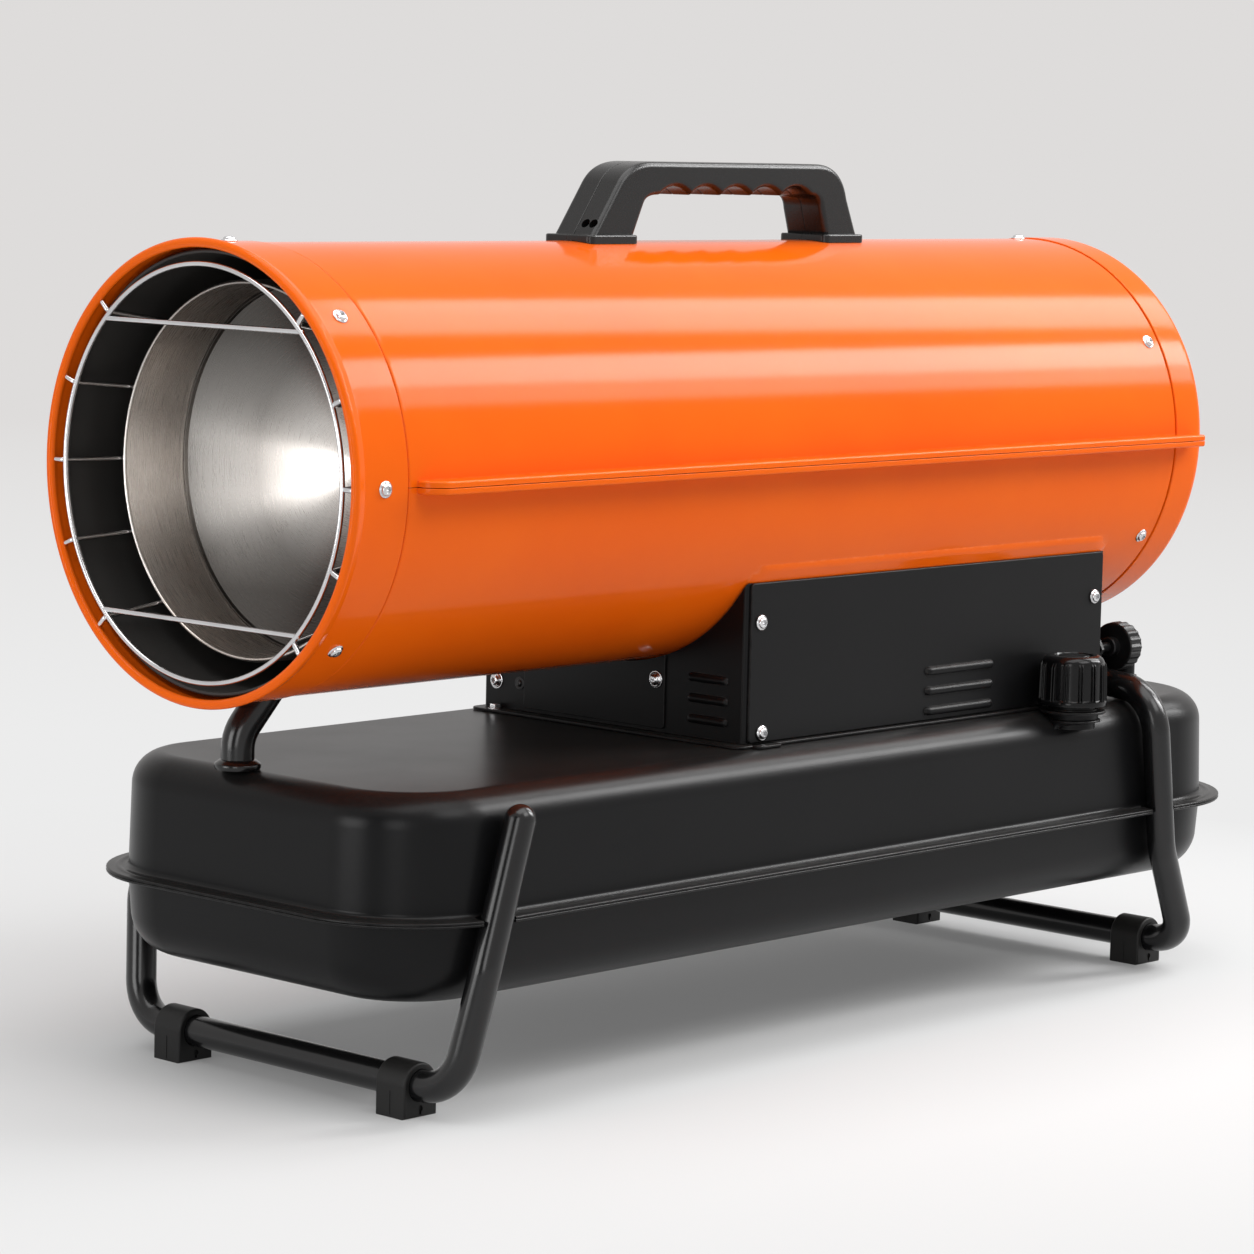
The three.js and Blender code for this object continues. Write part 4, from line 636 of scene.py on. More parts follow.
def aroundBarrel(bm, profile, segments=barrel["segments"], **more):
    revolve(bm, "x", profile, (0, 0, axisHeight), segments, **more)


def barrelBar(start, end, radius, segments=barrel["segments"]):
    return bar("x", start, end, radius, (0, 0, axisHeight), segments)


# place on the barrel: angle up from the near side, seen along the barrel
def onBarrel(x, angle, radius):
    a = math.radians(angle)
    return Vector((x, -radius * math.cos(a), axisHeight + radius * math.sin(a)))


def frontBandPiece():
    b = barrel
    inner = b["radius"] - b["sheet"]
    lip = b["radius"] + b["lipFlare"] - b["lipRadius"]
    front = b["front"]
    rear = front + b["frontBand"]
    edge, groove = b["edge"], b["groove"]
    profile = (arcPoints(front + b["lipRadius"], lip, b["lipRadius"], 62, 282, 18)
               + [(front + 2 * b["lipRadius"] + groove, inner), (rear, inner), (rear, b["radius"] - edge)]
               + arcPoints(rear - edge, b["radius"] - edge, edge, 0, 90, 4)
               + [(front + 3.9 * b["lipRadius"], b["radius"])]
               + arcPoints(front + 3.2 * b["lipRadius"], b["radius"] + groove, groove, 270, 215, 4))
    makePiece("frontBand", solid(aroundBarrel, profile), "orangePaint", "front_ring", crease=50)


def rearBandPiece():
    b = barrel
    inner = b["radius"] - b["sheet"]
    start = b["rear"] - b["rearBand"]
    noseX = b["rear"] - b["nose"]
    noseRadius = b["radius"] - b["nose"]
    mouth = noseRadius - b["noseRim"]
    edge = b["edge"]
    profile = ([(start, b["radius"] - edge)] + arcPoints(start + edge, b["radius"] - edge, edge, 180, 90, 4)
               + arcPoints(noseX, noseRadius, b["nose"], 90, 0, 12)
               + [(b["rear"] - 0.2, mouth + 0.8)] + arcPoints(b["rear"] - 0.8, mouth + edge, edge, 0, -180, 6)
               + arcPoints(noseX, noseRadius, b["nose"] - b["sheet"], 0, 90, 8)
               + [(start, inner)])
    makePiece("rearBand", solid(aroundBarrel, profile), "orangePaint", "rear_ring", crease=50)


# half of the casing, with its drawn-in ends and its folded ledges; side is 1 above and -1 below
def casingHalf(side):
    b = barrel
    outer = b["shellRadius"]
    inner = outer - b["sheet"]
    lapOuter = b["radius"] - b["sheet"] - b["gap"]
    lapInner = lapOuter - b["sheet"]
    front, rear = b["shellFront"], b["shellRear"]
    lap, halfGap = b["lap"], b["halfGap"]
    profile = [(front - lap, lapInner), (front - lap, lapOuter), (front - 0.05, lapOuter), (front, outer - 0.8),
               (front + 0.25, outer - 0.15), (front + 0.8, outer + 0.12), (front + 2.0, outer + 0.1),
               (front + 3.6, outer),
               (rear - 1.2, outer), (rear - 0.3, outer - 0.3), (rear, outer - 0.7), (rear + 0.05, lapOuter),
               (rear + lap, lapOuter), (rear + lap, lapInner), (rear - 1.5, lapInner), (rear - 3, inner),
               (front + 3, inner), (front + 1.5, lapInner)]
    bm = bmesh.new()
    tilt = math.degrees(math.asin(halfGap / outer))
    aroundBarrel(bm, profile, barrel["segments"] // 2, start=tilt, end=180 - tilt)
    start = front + b["ledgeInset"]
    end = rear + b["ledgeOverlap"]
    reach = outer + b["ledgeReach"]
    chamfer = b["ledgeChamfer"]
    root, free = outer - 0.8, b["radius"] + b["gap"]  # the ledge leaves the casing, and runs free past the rear band
    low = axisHeight + halfGap
    for far in (-1, 1):
        outline = [(start, root), (rear, root), (rear, free), (end, free), (end, reach - 5), (end - 1.5, reach - 1.8),
                   (end - 4, reach), (start + chamfer, reach), (start, reach - chamfer)]
        outline = [(x, far * y) for x, y in outline]
        prism(bm, "z", outline, low, low + b["ledgeThick"], ease=1.2, startEase=0.35)
    if side < 0:
        for vert in bm.verts:
            vert.co.z = 2 * axisHeight - vert.co.z
    return bm


saddle = {"front": -70.0, "rear": 259.0, "raise": 1.1, "sunk": 0.25, "angle": 28.5, "corner": 12.0, "roll": 0.8}


# pressed saddle round the underside, where the control box meets it
def addSaddle(bm):
    steps, rounds = 60, 96
    s = saddle
    raised = barrel["shellRadius"] + s["raise"]
    edge = math.radians(s["angle"])
    xs = [s["front"] + (s["rear"] - s["front"]) * i / steps for i in range(steps + 1)]
    rings = []
    for j in range(rounds + 1):
        a = -edge - (math.pi - 2 * edge) * j / rounds
        along = min(j, rounds - j) / rounds * (math.pi - 2 * edge) * raised
        ring = []
        for x in xs:
            side = min(x - s["front"], s["rear"] - x)
            corner = s["corner"] - side - along
            depth = min(side, along) if corner < 0 else -corner
            rise = s["raise"] * min(1.0, max(0.0, depth) / s["roll"])
            radius = barrel["shellRadius"] - s["sunk"] + rise + s["sunk"] * (rise / s["raise"])
            ring.append(Vector((x, -radius * math.cos(a), axisHeight + radius * math.sin(a))))
        rings.append(ring)
    skin(bm, rings, capped=False, closed=False)


def casingPieces():
    makePiece("upperCasing", casingHalf(1), "orangePaint", "upper_shell", crease=48)
    bm = casingHalf(-1)
    addSaddle(bm)
    makePiece("lowerCasing", bm, "orangePaint", "lower_shell", crease=48)


frontBandPiece()
rearBandPiece()
casingPieces()
print("barrel casing made")


# screws

screw = {"flange": 4.4, "flangeThick": 0.8, "stem": 0.8, "head": 3.3, "height": 2.5, "recess": 1.5, "socket": 1.95}


# pan head on a pressed flange, with a six-lobed socket
def screwTemplate():
    c = screw
    thick, flange, stem, height = c["flangeThick"], c["flange"], c["stem"], c["height"]
    dome = [(thick + (height - thick) * math.sin(a), c["head"] * math.cos(a) ** 0.55) for a in quarter(10)[:-1]]
    profile = [(-stem, 0), (-stem, flange - 0.3), (0.3, flange), (thick - 0.2, flange - 0.15), (thick, flange - 0.5),
               (thick - 0.1, c["head"] + 0.15)] + dome + [(height, 0)]
    bm = solid(revolve, "z", profile, segments=40)
    star = []
    for a in around(36):
        reach = c["socket"] * (0.84 + 0.16 * math.cos(6 * a))
        star.append((reach * math.cos(a), reach * math.sin(a)))
    return asMesh(carve(bm, solid(prism, "z", star, height - c["recess"], height + 1)))


def hexTemplate(width, height):
    return asMesh(solid(prism, "z", hexagon(0, 0, width / 2, 30), 0, height, ease=0.5))


def rivetTemplate(radius, height):
    dome = [(height * math.sin(a), radius * math.cos(a)) for a in quarter(8)[:-1]]
    return asMesh(solid(revolve, "z", [(-0.5, 0), (-0.5, radius)] + dome + [(height, 0)], segments=32))


def washerTemplate(outer, inner, thick):
    profile = [(0, inner), (0, outer), (thick - 0.2, outer), (thick, outer - 0.3), (thick, inner)]
    return asMesh(solid(revolve, "z", profile, segments=40))


panScrew = screwTemplate()
bandScrews = {  # place along the barrel, number, turn of the first one, radius they sit at
    "frontBandScrews": (-367.0, 8, 0.0, barrel["radius"]), "rearScrews": (290.0, 6, 30.0, barrel["shellRadius"]),
}


def bandScrewPieces():
    for name, (x, count, turn, radius) in bandScrews.items():
        bm = bmesh.new()
        for i in range(count):
            angle = turn + 360 / count * i
            way = onBarrel(0, angle, 1) - Vector((0, 0, axisHeight))
            setAt(bm, panScrew, onBarrel(x, angle, radius), way, spin=37 * i)
        makePiece(name, bm, "screwSteel", crease=40)


bandScrewPieces()
print("barrel screws made")


# outlet

outlet = {
    "linerFront": -379.5, "linerRear": -239.0, "linerInner": 114.6, "linerOuter": 116.2, "linerRoll": 1.0,
    "drumFront": -354.0, "drumRear": -99.0, "drumRadius": 100.0, "drumSheet": 1.4, "drumPort": 46.3, "drumBend": 6.0,
    "rim": 0.9, "feetAt": -299.0, "footHalf": 9.0, "footThick": 2.0,
    "dishFront": -312.0, "dishRim": 98.4, "dishDepth": 42.0, "dishSheet": 1.4, "dishSlope": 1.35,  # slope 1 is a cone
    "wire": 1.45, "guardX": -385.6, "guardRadius": 108.4, "hook": 7.4, "hookBend": 2.4, "cross": 77.0,
    "stubs": (-47.5, -22.5, 0.0, 22.5, 47.5),  # degrees of the short wires on each side
}


def linerPiece():
    o = outlet
    front, rear, inner, outer, roll = o["linerFront"], o["linerRear"], o["linerInner"], o["linerOuter"], o["linerRoll"]
    profile = (arcPoints(front + roll, inner + 0.2, roll, 90, 270, 8)
               + [(front + 2.2, inner), (rear, inner), (rear, outer), (front + 2.2, outer)])
    makePiece("outletLiner", solid(aroundBarrel, profile), "heatBlack", "outlet_liner", crease=40)


def drumPiece():
    o = outlet
    sheet, port, bend = o["drumSheet"], o["drumPort"], o["drumBend"]
    inner, tight = o["drumRadius"] - sheet, bend - sheet
    front, rear = o["drumFront"], o["drumRear"]
    rimEnd = front + 2.6 * o["rim"]
    profile = (arcPoints(front + o["rim"], inner - 0.1, o["rim"], 70, 300, 14)
               + [(rimEnd, inner), (rear - bend, inner)] + arcPoints(rear - bend, inner - tight, tight, 90, 0, 6)
               + [(rear - sheet, port), (rear, port), (rear, inner - tight)]
               + arcPoints(rear - bend, inner - tight, bend, 0, 90, 8) + [(rimEnd, o["drumRadius"])])
    bm = solid(aroundBarrel, profile)
    low = (o["feetAt"], -o["footHalf"], o["drumRadius"] - 1)
    high = (o["feetAt"] + o["footThick"], o["footHalf"], o["linerInner"] - 0.4)
    for angle in (45, 135, 225, 315):  # feet that rest in the liner
        turn = Matrix.Rotation(math.radians(angle - 90), 4, "X")
        addPart(bm, solid(block, low, high, 0.3), Matrix.Translation((0, 0, axisHeight)) @ turn)
    makePiece("burnerDrum", bm, "drumSteel", "combustion_chamber", crease=40)


def dishPiece():
    o = outlet
    rim, start, wall, depth = o["dishRim"], o["dishFront"], o["dishSheet"], o["dishDepth"]

    def hollow(radius):
        return start + 1.6 + depth * (1 - (radius / rim) ** o["dishSlope"])

    radii = [rim - 1.2 - (rim - 1.2) * i / 40 for i in range(40)]
    front = [(hollow(r), r) for r in radii] + [(hollow(0), 0)]
    back = [(hollow(0) + wall, 0)] + [(hollow(r) + wall, r) for r in reversed(radii)]
    edge = [(start + 4.2, rim)] + arcPoints(start + 0.7, rim - 0.7, 0.7, 90, 200, 5)
    makePiece("flameDishPlate", solid(aroundBarrel, front + back + edge), "dishSteel", "flame_dish", crease=45)


def guardPiece():
    o = outlet
    x, wire, radius = o["guardX"], o["wire"], o["guardRadius"]
    seat = o["drumRadius"] + wire + 0.3
    bm = solid(aroundBarrel, circle(x, radius, wire, 12), 160)
    for side in (-1, 1):
        z = side * o["cross"]
        half = math.sqrt(radius ** 2 - z ** 2) + 0.6
        crossWire = [(x + 0.4, -half, axisHeight + z), (x + 0.4, half, axisHeight + z)]
        sweep(bm, bentPath(crossWire, 1), wire, 12, True)
        for degrees in o["stubs"]:
            a = math.radians(degrees)
            stub = ((x - 0.4, radius + o["hook"]), (x, radius + wire),
                    (o["drumFront"] + 4, seat), (o["drumFront"] + 12, seat))
            stub = [(along, side * out * math.cos(a), axisHeight + out * math.sin(a)) for along, out in stub]
            sweep(bm, bentPath(stub, o["hookBend"], 6), wire, 12, True)
    makePiece("wireGuard", bm, "brightWire", "outlet_guard", crease=50)


linerPiece()
drumPiece()
dishPiece()
guardPiece()
print("outlet made")


# fan and intake

fanSizes = {
    "front": 235.0, "rear": 265.0, "radius": 106.0, "hub": 24.0, "shaft": 5.0, "shaftEnd": 183.0, "rivets": 5,
    "rivetsAt": 8.5, "blades": 5, "thick": 0.9, "camber": 3.5, "rootPitch": 52.0, "untwist": 26.0, "chord": 34.0,
    "belly": 30.0, "sweep": 10.0,
}


def fanPiece():
    f = fanSizes
    front, rear, hub = f["front"], f["rear"], f["hub"]
    middle = Matrix.Translation(((front + rear) / 2, 0, axisHeight))
    bm = bmesh.new()
    aroundBarrel(bm, [(front, 0), (front, hub - 2)] + arcPoints(front + 2, hub - 2, 2, 180, 90, 5)
                 + arcPoints(rear - 5, hub - 5, 5, 90, 0, 6)
                 + [(rear, hub - 12), (rear - 1.5, hub - 13), (rear - 1.5, 0)], 72)
    aroundBarrel(bm, [(f["shaftEnd"], 0), (front + 1, 0), (front + 1, f["shaft"]), (f["shaftEnd"], f["shaft"])], 40)
    across = [-0.5 + k / 14 for k in range(15)]
    section = [(a, 1) for a in across] + [(a, -1) for a in reversed(across)]
    for turn in around(f["blades"]):
        rings = []
        steps = 20
        for i in range(steps + 1):
            share = i / steps
            radius = hub - 3 + (f["radius"] - hub + 3) * share
            pitch = math.radians(f["rootPitch"] - f["untwist"] * share)
            tip = math.sqrt(max(0.0, 1 - max(0.0, (share - 0.9) / 0.1) ** 2 * 0.45))
            chord = (f["chord"] + f["belly"] * math.sin(share * math.pi * 0.62)) * tip
            ring = []
            for a, face in section:
                u = a * chord
                v = f["camber"] * (1 - 4 * a * a) + face * f["thick"] * (1 - (2 * a) ** 6 * 0.6)
                x = u * math.sin(pitch) + v * math.cos(pitch)
                y = u * math.cos(pitch) - v * math.sin(pitch) + f["sweep"] * share * share
                ring.append(Vector((x, y, min(radius, math.sqrt(max(1.0, f["radius"] ** 2 - y * y))))))
            rings.append(ring)
        addPart(bm, solid(skin, rings), middle @ Matrix.Rotation(turn, 4, "X"))
    rivet, at = rivetTemplate(2.0, 1.0), f["rivetsAt"]
    for i in range(f["rivets"]):
        a = 2 * math.pi * (i + 0.5) / f["rivets"]
        setAt(bm, rivet, (rear - 1.5, at * math.cos(a), axisHeight + at * math.sin(a)), (1, 0, 0))
    makePiece("fanWheel", bm, "castAluminium", "fan", body="rotor", crease=38)


grille = {"plane": 318.0, "wire": 1.5, "rings": 4, "spokes": 6, "outer": 116.1}


def grillePiece():
    g = grille
    outer, wire = g["outer"], g["wire"]
    bm = bmesh.new()
    for i in range(1, g["rings"] + 1):
        aroundBarrel(bm, circle(g["plane"], outer / g["rings"] * i, wire, 10), 128)
    x = g["plane"] - wire
    for a in around(g["spokes"]):
        far = (x, -outer * math.sin(a), axisHeight + outer * math.cos(a))
        sweep(bm, bentPath([(x, 0, axisHeight), far], 1), wire, 12)
    makePiece("wireGrille", bm, "blackSteel", "intake_grille", crease=50)


fanPiece()
grillePiece()
print("fan and grille made")


# tank

tank = {
    "front": -368.0, "rear": 389.0, "halfWidth": 127.5, "top": 172.0, "seam": 107.0, "bottom": 61.0, "flange": 12.0,
    "flangeThick": 1.5, "frontCorner": 72.0, "rearCorner": 84.0, "shoulder": 18.0, "belly": 24.0, "draft": 1.6,
    "wall": 2.0, "halfGap": 0.1,
    # rolled bead: in from the rim, up from the flange
    "bead": ((8.6, 0), (8.0, 0.35), (6.6, 0.6), (5.2, 0.35), (4.6, 0)),
}


def tankRing(inset, z, steps=16):
    t = tank
    x0, x1 = t["front"] + inset, t["rear"] - inset
    y = t["halfWidth"] + t["flange"] - inset
    front, rear = max(t["frontCorner"] - inset, 4), max(t["rearCorner"] - inset, 4)
    plan = (arcPoints(x1 - rear, y - rear, rear, 0, 90, steps)
            + arcPoints(x0 + front, y - front, front, 90, 180, steps)
            + arcPoints(x0 + front, front - y, front, 180, 270, steps)
            + arcPoints(x1 - rear, rear - y, rear, 270, 360, steps))
    return [Vector((u, v, z)) for u, v in plan]


# pressed half of the tank from its closed face to its flange and back inside
def tankHalf(face, seam, shoulder):
    t = tank
    up = 1 if face > seam else -1
    faceInset = t["flange"] + t["draft"]

    def rounded(radius, depth):
        return [(faceInset + depth + radius * (1 - math.sin(a)), face - up * (depth + radius * (1 - math.cos(a))))
                for a in quarter(12)]

    flange = seam + up * t["flangeThick"]
    fillet = [(t["flange"] + 0.25 - 2.4 * (1 - math.cos(a)) * 0.9, flange + up * 2.6 * (1 - math.sin(a)))
              for a in quarter(6)]
    bead = [(inset, flange + up * rise) for inset, rise in t["bead"]]
    edge = [(1.0, flange), (0.35, flange - up * 0.15), (0.0, flange - up * 0.6), (0.0, seam + up * 0.35), (0.3, seam)]
    inside = [(t["flange"] + t["wall"], seam)] + rounded(shoulder - t["wall"], t["wall"])[::-1]
    path = rounded(shoulder, 0) + fillet + bead + edge + inside
    return solid(skin, [tankRing(inset, z) for inset, z in path])


legs = {
    "tube": 8.5, "bend": 26.0, "crossbar": 17.0, "wallY": 136.3, "lowY": 125.0, "wallZ": 83.0, "notchGap": 2.5,
    "front": {"foot": -316.0, "wallX": -306.0, "top": [(-283.0, -136.3, 158.0)]},
    "rear": {"foot": 319.0, "wallX": 278.0, "top": [(273.0, -92.0, 181.7), (265.0, -136.3, 179.7)]},
}


def legPath(leg):
    near = [*leg["top"], (leg["wallX"], -legs["wallY"], legs["wallZ"]), (leg["foot"], -legs["lowY"], legs["crossbar"])]
    return bentPath(near + [(x, -y, z) for x, y, z in reversed(near)], legs["bend"])


# cutters where the leg tubes pass the flange
def flangeNotches():
    cutters = []
    half = legs["tube"] + legs["notchGap"]
    for leg in (legs["front"], legs["rear"]):
        path = [at for at, way in legPath(leg)]
        low = next(i for i, at in enumerate(path) if at.z < tank["seam"])
        high, below = path[low - 1], path[low]
        at = high.lerp(below, (high.z - tank["seam"]) / (high.z - below.z))
        outline = roundedRectangle(at.x - half, tank["halfWidth"] + 0.1, at.x + half, tank["halfWidth"] + 60, 5)
        for side in (-1, 1):
            cutters.append(solid(prism, "z", [(x, side * y) for x, y in outline], tank["seam"] - 8, tank["seam"] + 8))
    return cutters


filler = {
    "x": 201.0, "y": -122.6, "radius": 14.0, "wall": 2.0, "rise": 14.0, "depth": 9.0, "bossDrop": 3.4, "wallIn": 4.5,
    # pressed boss: down from its top, past the neck, share of the pull to the tank's near wall
    "boss": ((0, 0.35, 0), (0, 2.5, 0), (0.25, 3.0, 0), (0.8, 3.2, 0), (1.4, 3.2, 0), (2.2, 3.3, 0.2), (3.6, 3.5, 0.65),
             (6.0, 3.7, 1)),
    # ring at the foot of the neck: up from the collar, past the neck
    "ring": ((0, -0.1), (0, 1.6), (3.2, 2.0), (3.4, 5.5), (3.8, 5.9), (4.6, 5.9), (5.0, 5.5), (5.1, 0.9), (5.8, 0.8),
             (6.0, -0.1)),
    "threadFrom": 6.2, "threadTurns": 1.6, "threadPitch": 5.0, "threadWire": 0.5,
}
pickup = {
    "x": 311.0, "y": -80.0, "radius": 3.5, "lineZ": 185.0, "lineY": -55.0, "flange": 8.0, "hex": 7.0, "body": 5.6,
    "hose": 3.0, "holeInWall": 3.5, "overFloor": 6.0,
}
support = {"x": -342.0, "y": 17.0, "radius": 9.0, "bend": 24.0, "collar": 12.5}


# round hole down through the tank's top
def topHole(piece, depth, segments):
    low, high, radius = tank["top"] - depth, tank["top"] + 10, piece["radius"] + 0.3
    profile = [(low, 0), (low, radius), (high, radius), (high, 0)]
    return solid(revolve, "z", profile, (piece["x"], piece["y"], 0), segments)


def tankPieces():
    t = tank
    upper = tankHalf(t["top"], t["seam"] + t["halfGap"], t["shoulder"])
    lower = tankHalf(t["bottom"], t["seam"] - t["halfGap"], t["belly"])
    upper = carve(upper, topHole(filler, filler["depth"] + 0.3, 64), topHole(pickup, 10, 32), *flangeNotches())
    makePiece("tankTopShell", upper, "tankSteel", "tank_upper", crease=40)
    makePiece("tankBottomShell", carve(lower, *flangeNotches()), "tankSteel", "tank_lower", crease=40)


def bossPiece():
    n = filler
    top = tank["top"] - n["bossDrop"]
    wall = -tank["halfWidth"] + n["wallIn"]
    rings = []
    for depth, past, share in n["boss"]:
        plan = circle(n["x"], n["y"], n["radius"] + past, 96)
        rings.append([Vector((x, y + max(0.0, wall - y) * share, top - depth)) for x, y in plan])
    makePiece("fillerBoss", solid(skin, rings, capped=False), "tankSteel", crease=50)


def neckPiece():
    t, n = tank, filler
    low, collar, high = t["top"] - n["depth"], t["top"] - n["bossDrop"] + 0.3, t["top"] + n["rise"]
    radius = n["radius"]
    bore = radius - n["wall"]
    profile = ([(low, bore), (low, radius - 0.1)] + [(collar + up, radius + past) for up, past in n["ring"]]
               + arcPoints(high - 0.8, radius - 0.9, 0.8, 90, 0, 5) + [(high, bore + 0.4), (high - 0.4, bore)])
    bm = solid(revolve, "z", profile, (n["x"], n["y"], 0), 96)
    turns, steps = n["threadTurns"], 110
    path = []
    for i in range(steps + 1):
        a = 2 * math.pi * turns * i / steps
        fade = min(1.0, i / 12, (steps - i) / 12)
        r = radius - 0.45 + 0.4 * fade
        rise = n["threadFrom"] + n["threadPitch"] * turns * i / steps
        place = Vector((n["x"] + r * math.cos(a), n["y"] + r * math.sin(a), collar + rise))
        path.append((place, Vector((-math.sin(a), math.cos(a), 0.05)).normalized()))
    sweep(bm, path, n["threadWire"], 8, True)
    makePiece("threadedNeck", bm, "blackSteel", "filler_neck", crease=40)


cap = {
    "radius": 20.8, "height": 30.0, "lift": 5.0, "bore": 14.5, "roofGap": 2.6, "skirtIn": 1.7,
    "lip": ((0, -0.6), (0.2, -0.15), (0.7, 0), (2.2, 0), (2.8, -0.2)),  # up from the lower rim, past the radius
    "crown": ((0, -6.6), (-0.2, -7.3), (-1.1, -7.8), (-1.2, -9.4), (-0.4, -10.2)),  # up from the top, past the skirt
    "ribs": 14, "pairHalf": 2.8, "ribStand": 1.5, "ribTaper": 0.25, "ribFoot": 3.0, "ribHead": 4.2,
    "rib": ((0.6, -0.5), (0.9, -0.25), (1, 0), (0.9, 0.25), (0.6, 0.5)),  # share of its stand, place across it
}


# screw cap: ribbed skirt with a lip below and a rounded top with a ringed recess
def capPiece():
    c, n = cap, filler
    lip = tank["top"] + c["lift"]
    top = lip + c["height"]
    skirt = c["radius"] - c["skirtIn"]
    roof = tank["top"] + n["rise"] + c["roofGap"]
    profile = ([(lip, c["bore"])] + [(lip + up, c["radius"] + past) for up, past in c["lip"]]
               + [(lip + 3.4, skirt + 0.4), (lip + 4.2, skirt), (top - 5.6, skirt - 0.4)]
               + arcPoints(top - 5.0, skirt - 5.4, 5.0, 90, 0, 10)
               + [(top + up, skirt + past) for up, past in c["crown"]]
               + [(top - 0.3, 0), (roof, 0), (roof, c["bore"] - 1.2), (roof - 1.2, c["bore"])])
    bm = solid(revolve, "z", profile, (n["x"], n["y"], 0), 128)
    middle = Matrix.Translation((n["x"], n["y"], 0))
    for i in range(c["ribs"]):  # ribs stand in pairs
        for shift in (-c["pairHalf"], c["pairHalf"]):
            rings = []
            for share in [k / 16 for k in range(17)]:
                z = lip + c["ribFoot"] + (top - c["ribHead"] - lip - c["ribFoot"]) * share
                stand = c["ribStand"] - c["ribTaper"] * share
                if share > 0.88:  # rounded off at its upper end
                    stand *= min(1.0, math.sqrt(max(0.0, (1 - share) / 0.12)))
                base = skirt - 0.9 - 0.4 * share
                crest = [Vector((base + 0.9 + stand * part, across, z)) for part, across in c["rib"]]
                rings.append([Vector((base, -0.6, z))] + crest + [Vector((base, 0.6, z))])
            turn = math.radians(360 / c["ribs"] * i + shift)
            addPart(bm, solid(skin, rings), middle @ Matrix.Rotation(turn, 4, "Z"))
    makePiece("ribbedCap", bm, "capPlastic", "fuel_cap", body="cap", crease=38)


tankPieces()
bossPiece()
neckPiece()
capPiece()
print("tank, neck and cap made")


# legs, feet and front support

def legPieces():
    for name, leg, node in (("frontLegTube", legs["front"], "front_leg"), ("rearLegTube", legs["rear"], "rear_leg")):
        makePiece(name, solid(sweep, legPath(leg), legs["tube"], 40, True), "glossTube", node, crease=50)


feet = {"y": 89.0, "width": 22.0, "length": 24.0, "ease": 1.4, "markDeep": 1.2, "markRadius": 1.7, "markHeight": 4.6}
footNames = (
    ("frontFootNear", "front", -1, "front_foot_near"), ("frontFootFar", "front", 1, "front_foot_far"),
    ("rearFootNear", "rear", -1, "rear_foot_near"), ("rearFootFar", "rear", 1, "rear_foot_far"),
)


# moulded foot: a square base, a round sleeve over the crossbar, a keyhole mark and a mould seam
def footPieces():
    f = feet
    half = f["length"] / 2
    height = legs["crossbar"]
    for name, end, side, node in footNames:
        x, y = legs[end]["foot"], side * f["y"]
        near = y - f["width"] / 2
        outline = [(x - half, 0), (x + half, 0)] + arcPoints(x, height, half, 0, 180, 28)
        bm = solid(prism, "y", outline, near, y + f["width"] / 2, ease=f["ease"], startEase=f["ease"], steps=5)
        hole = bar("y", y - 30, y + 30, legs["tube"] + 0.3, (x, 0, height), 48)
        keyhole = bar("y", near - 1, near + f["markDeep"], f["markRadius"], (x, 0, f["markHeight"]), 24)
        slit = solid(block, (x - 0.7, near - 1, 1.4), (x + 0.7, near + f["markDeep"], f["markHeight"]))
        makePiece(name, carve(bm, hole, keyhole, slit), "rubber", node, crease=40)
        seam = solid(block, (x - half - 0.25, y - 0.35, 1.5), (x + half + 0.25, y + 0.35, height - 3), 0.15)
        profile = [(y - 0.35, half - 0.5), (y - 0.2, half - 0.05), (y + 0.2, half - 0.05), (y + 0.35, half - 0.5)]
        revolve(seam, "y", profile, (x, 0, height), 32, start=-90, end=90)
        makePiece(name + "Seam", seam, "rubber", crease=40)


def supportPieces():
    s = support
    x, y, base, collar, radius = s["x"], s["y"], tank["top"] + 0.3, s["collar"], s["radius"]
    path = bentPath([(x, y, base), (x, y, base + 18), (x + 21, y - 8, base + 50)], s["bend"])
    bore = barrelBar(barrel["front"], barrel["front"] + 120, barrel["radius"] + 0.3)
    bm = carve(solid(sweep, path, radius, 40), bore)
    profile = [(base, 0), (base, collar - 0.5), (base + 1.0, collar), (base + 2.4, collar), (base + 3.2, collar - 0.4),
               (base + 4.4, radius + 1.4), (base + 5.2, radius + 0.3), (base + 5.2, 0)]
    revolve(bm, "z", profile, (x, y, 0), 64)
    makePiece("supportTube", bm, "glossTube", "front_support", crease=40)


legPieces()
footPieces()
supportPieces()
print("legs, feet and support made")


# control box

box = {
    "front": -70.0, "rear": 259.0, "near": -101.0, "far": 106.0, "corner": 2.4, "sheet": 1.6, "floor": 172.3,
    "wallFloor": 174.1, "topRadius": 120.2, "nearTop": 264.3, "coverEdge": 3.0, "rim": 4.0, "frontRim": 9.5,
    "baseThick": 1.5, "coverThick": 1.45, "frontThick": 1.3, "frontCover": (-40.0, 72.0),
    "frontWindow": (-34.0, 66.0, 182.1, 200.1),
}
louvre = {
    "height": 5.6, "rise": 2.8, "pitch": 11.8, "count": 3, "sheet": 0.7, "slotIn": 1.6, "slotDown": 2.4,
    "slotUp": 1.2,
}
sideLouvres = {"middle": 118.5, "length": 63.0, "z": 203.1}
frontLouvres = {"middle": -72.5, "length": 30.0, "z": 208.1}


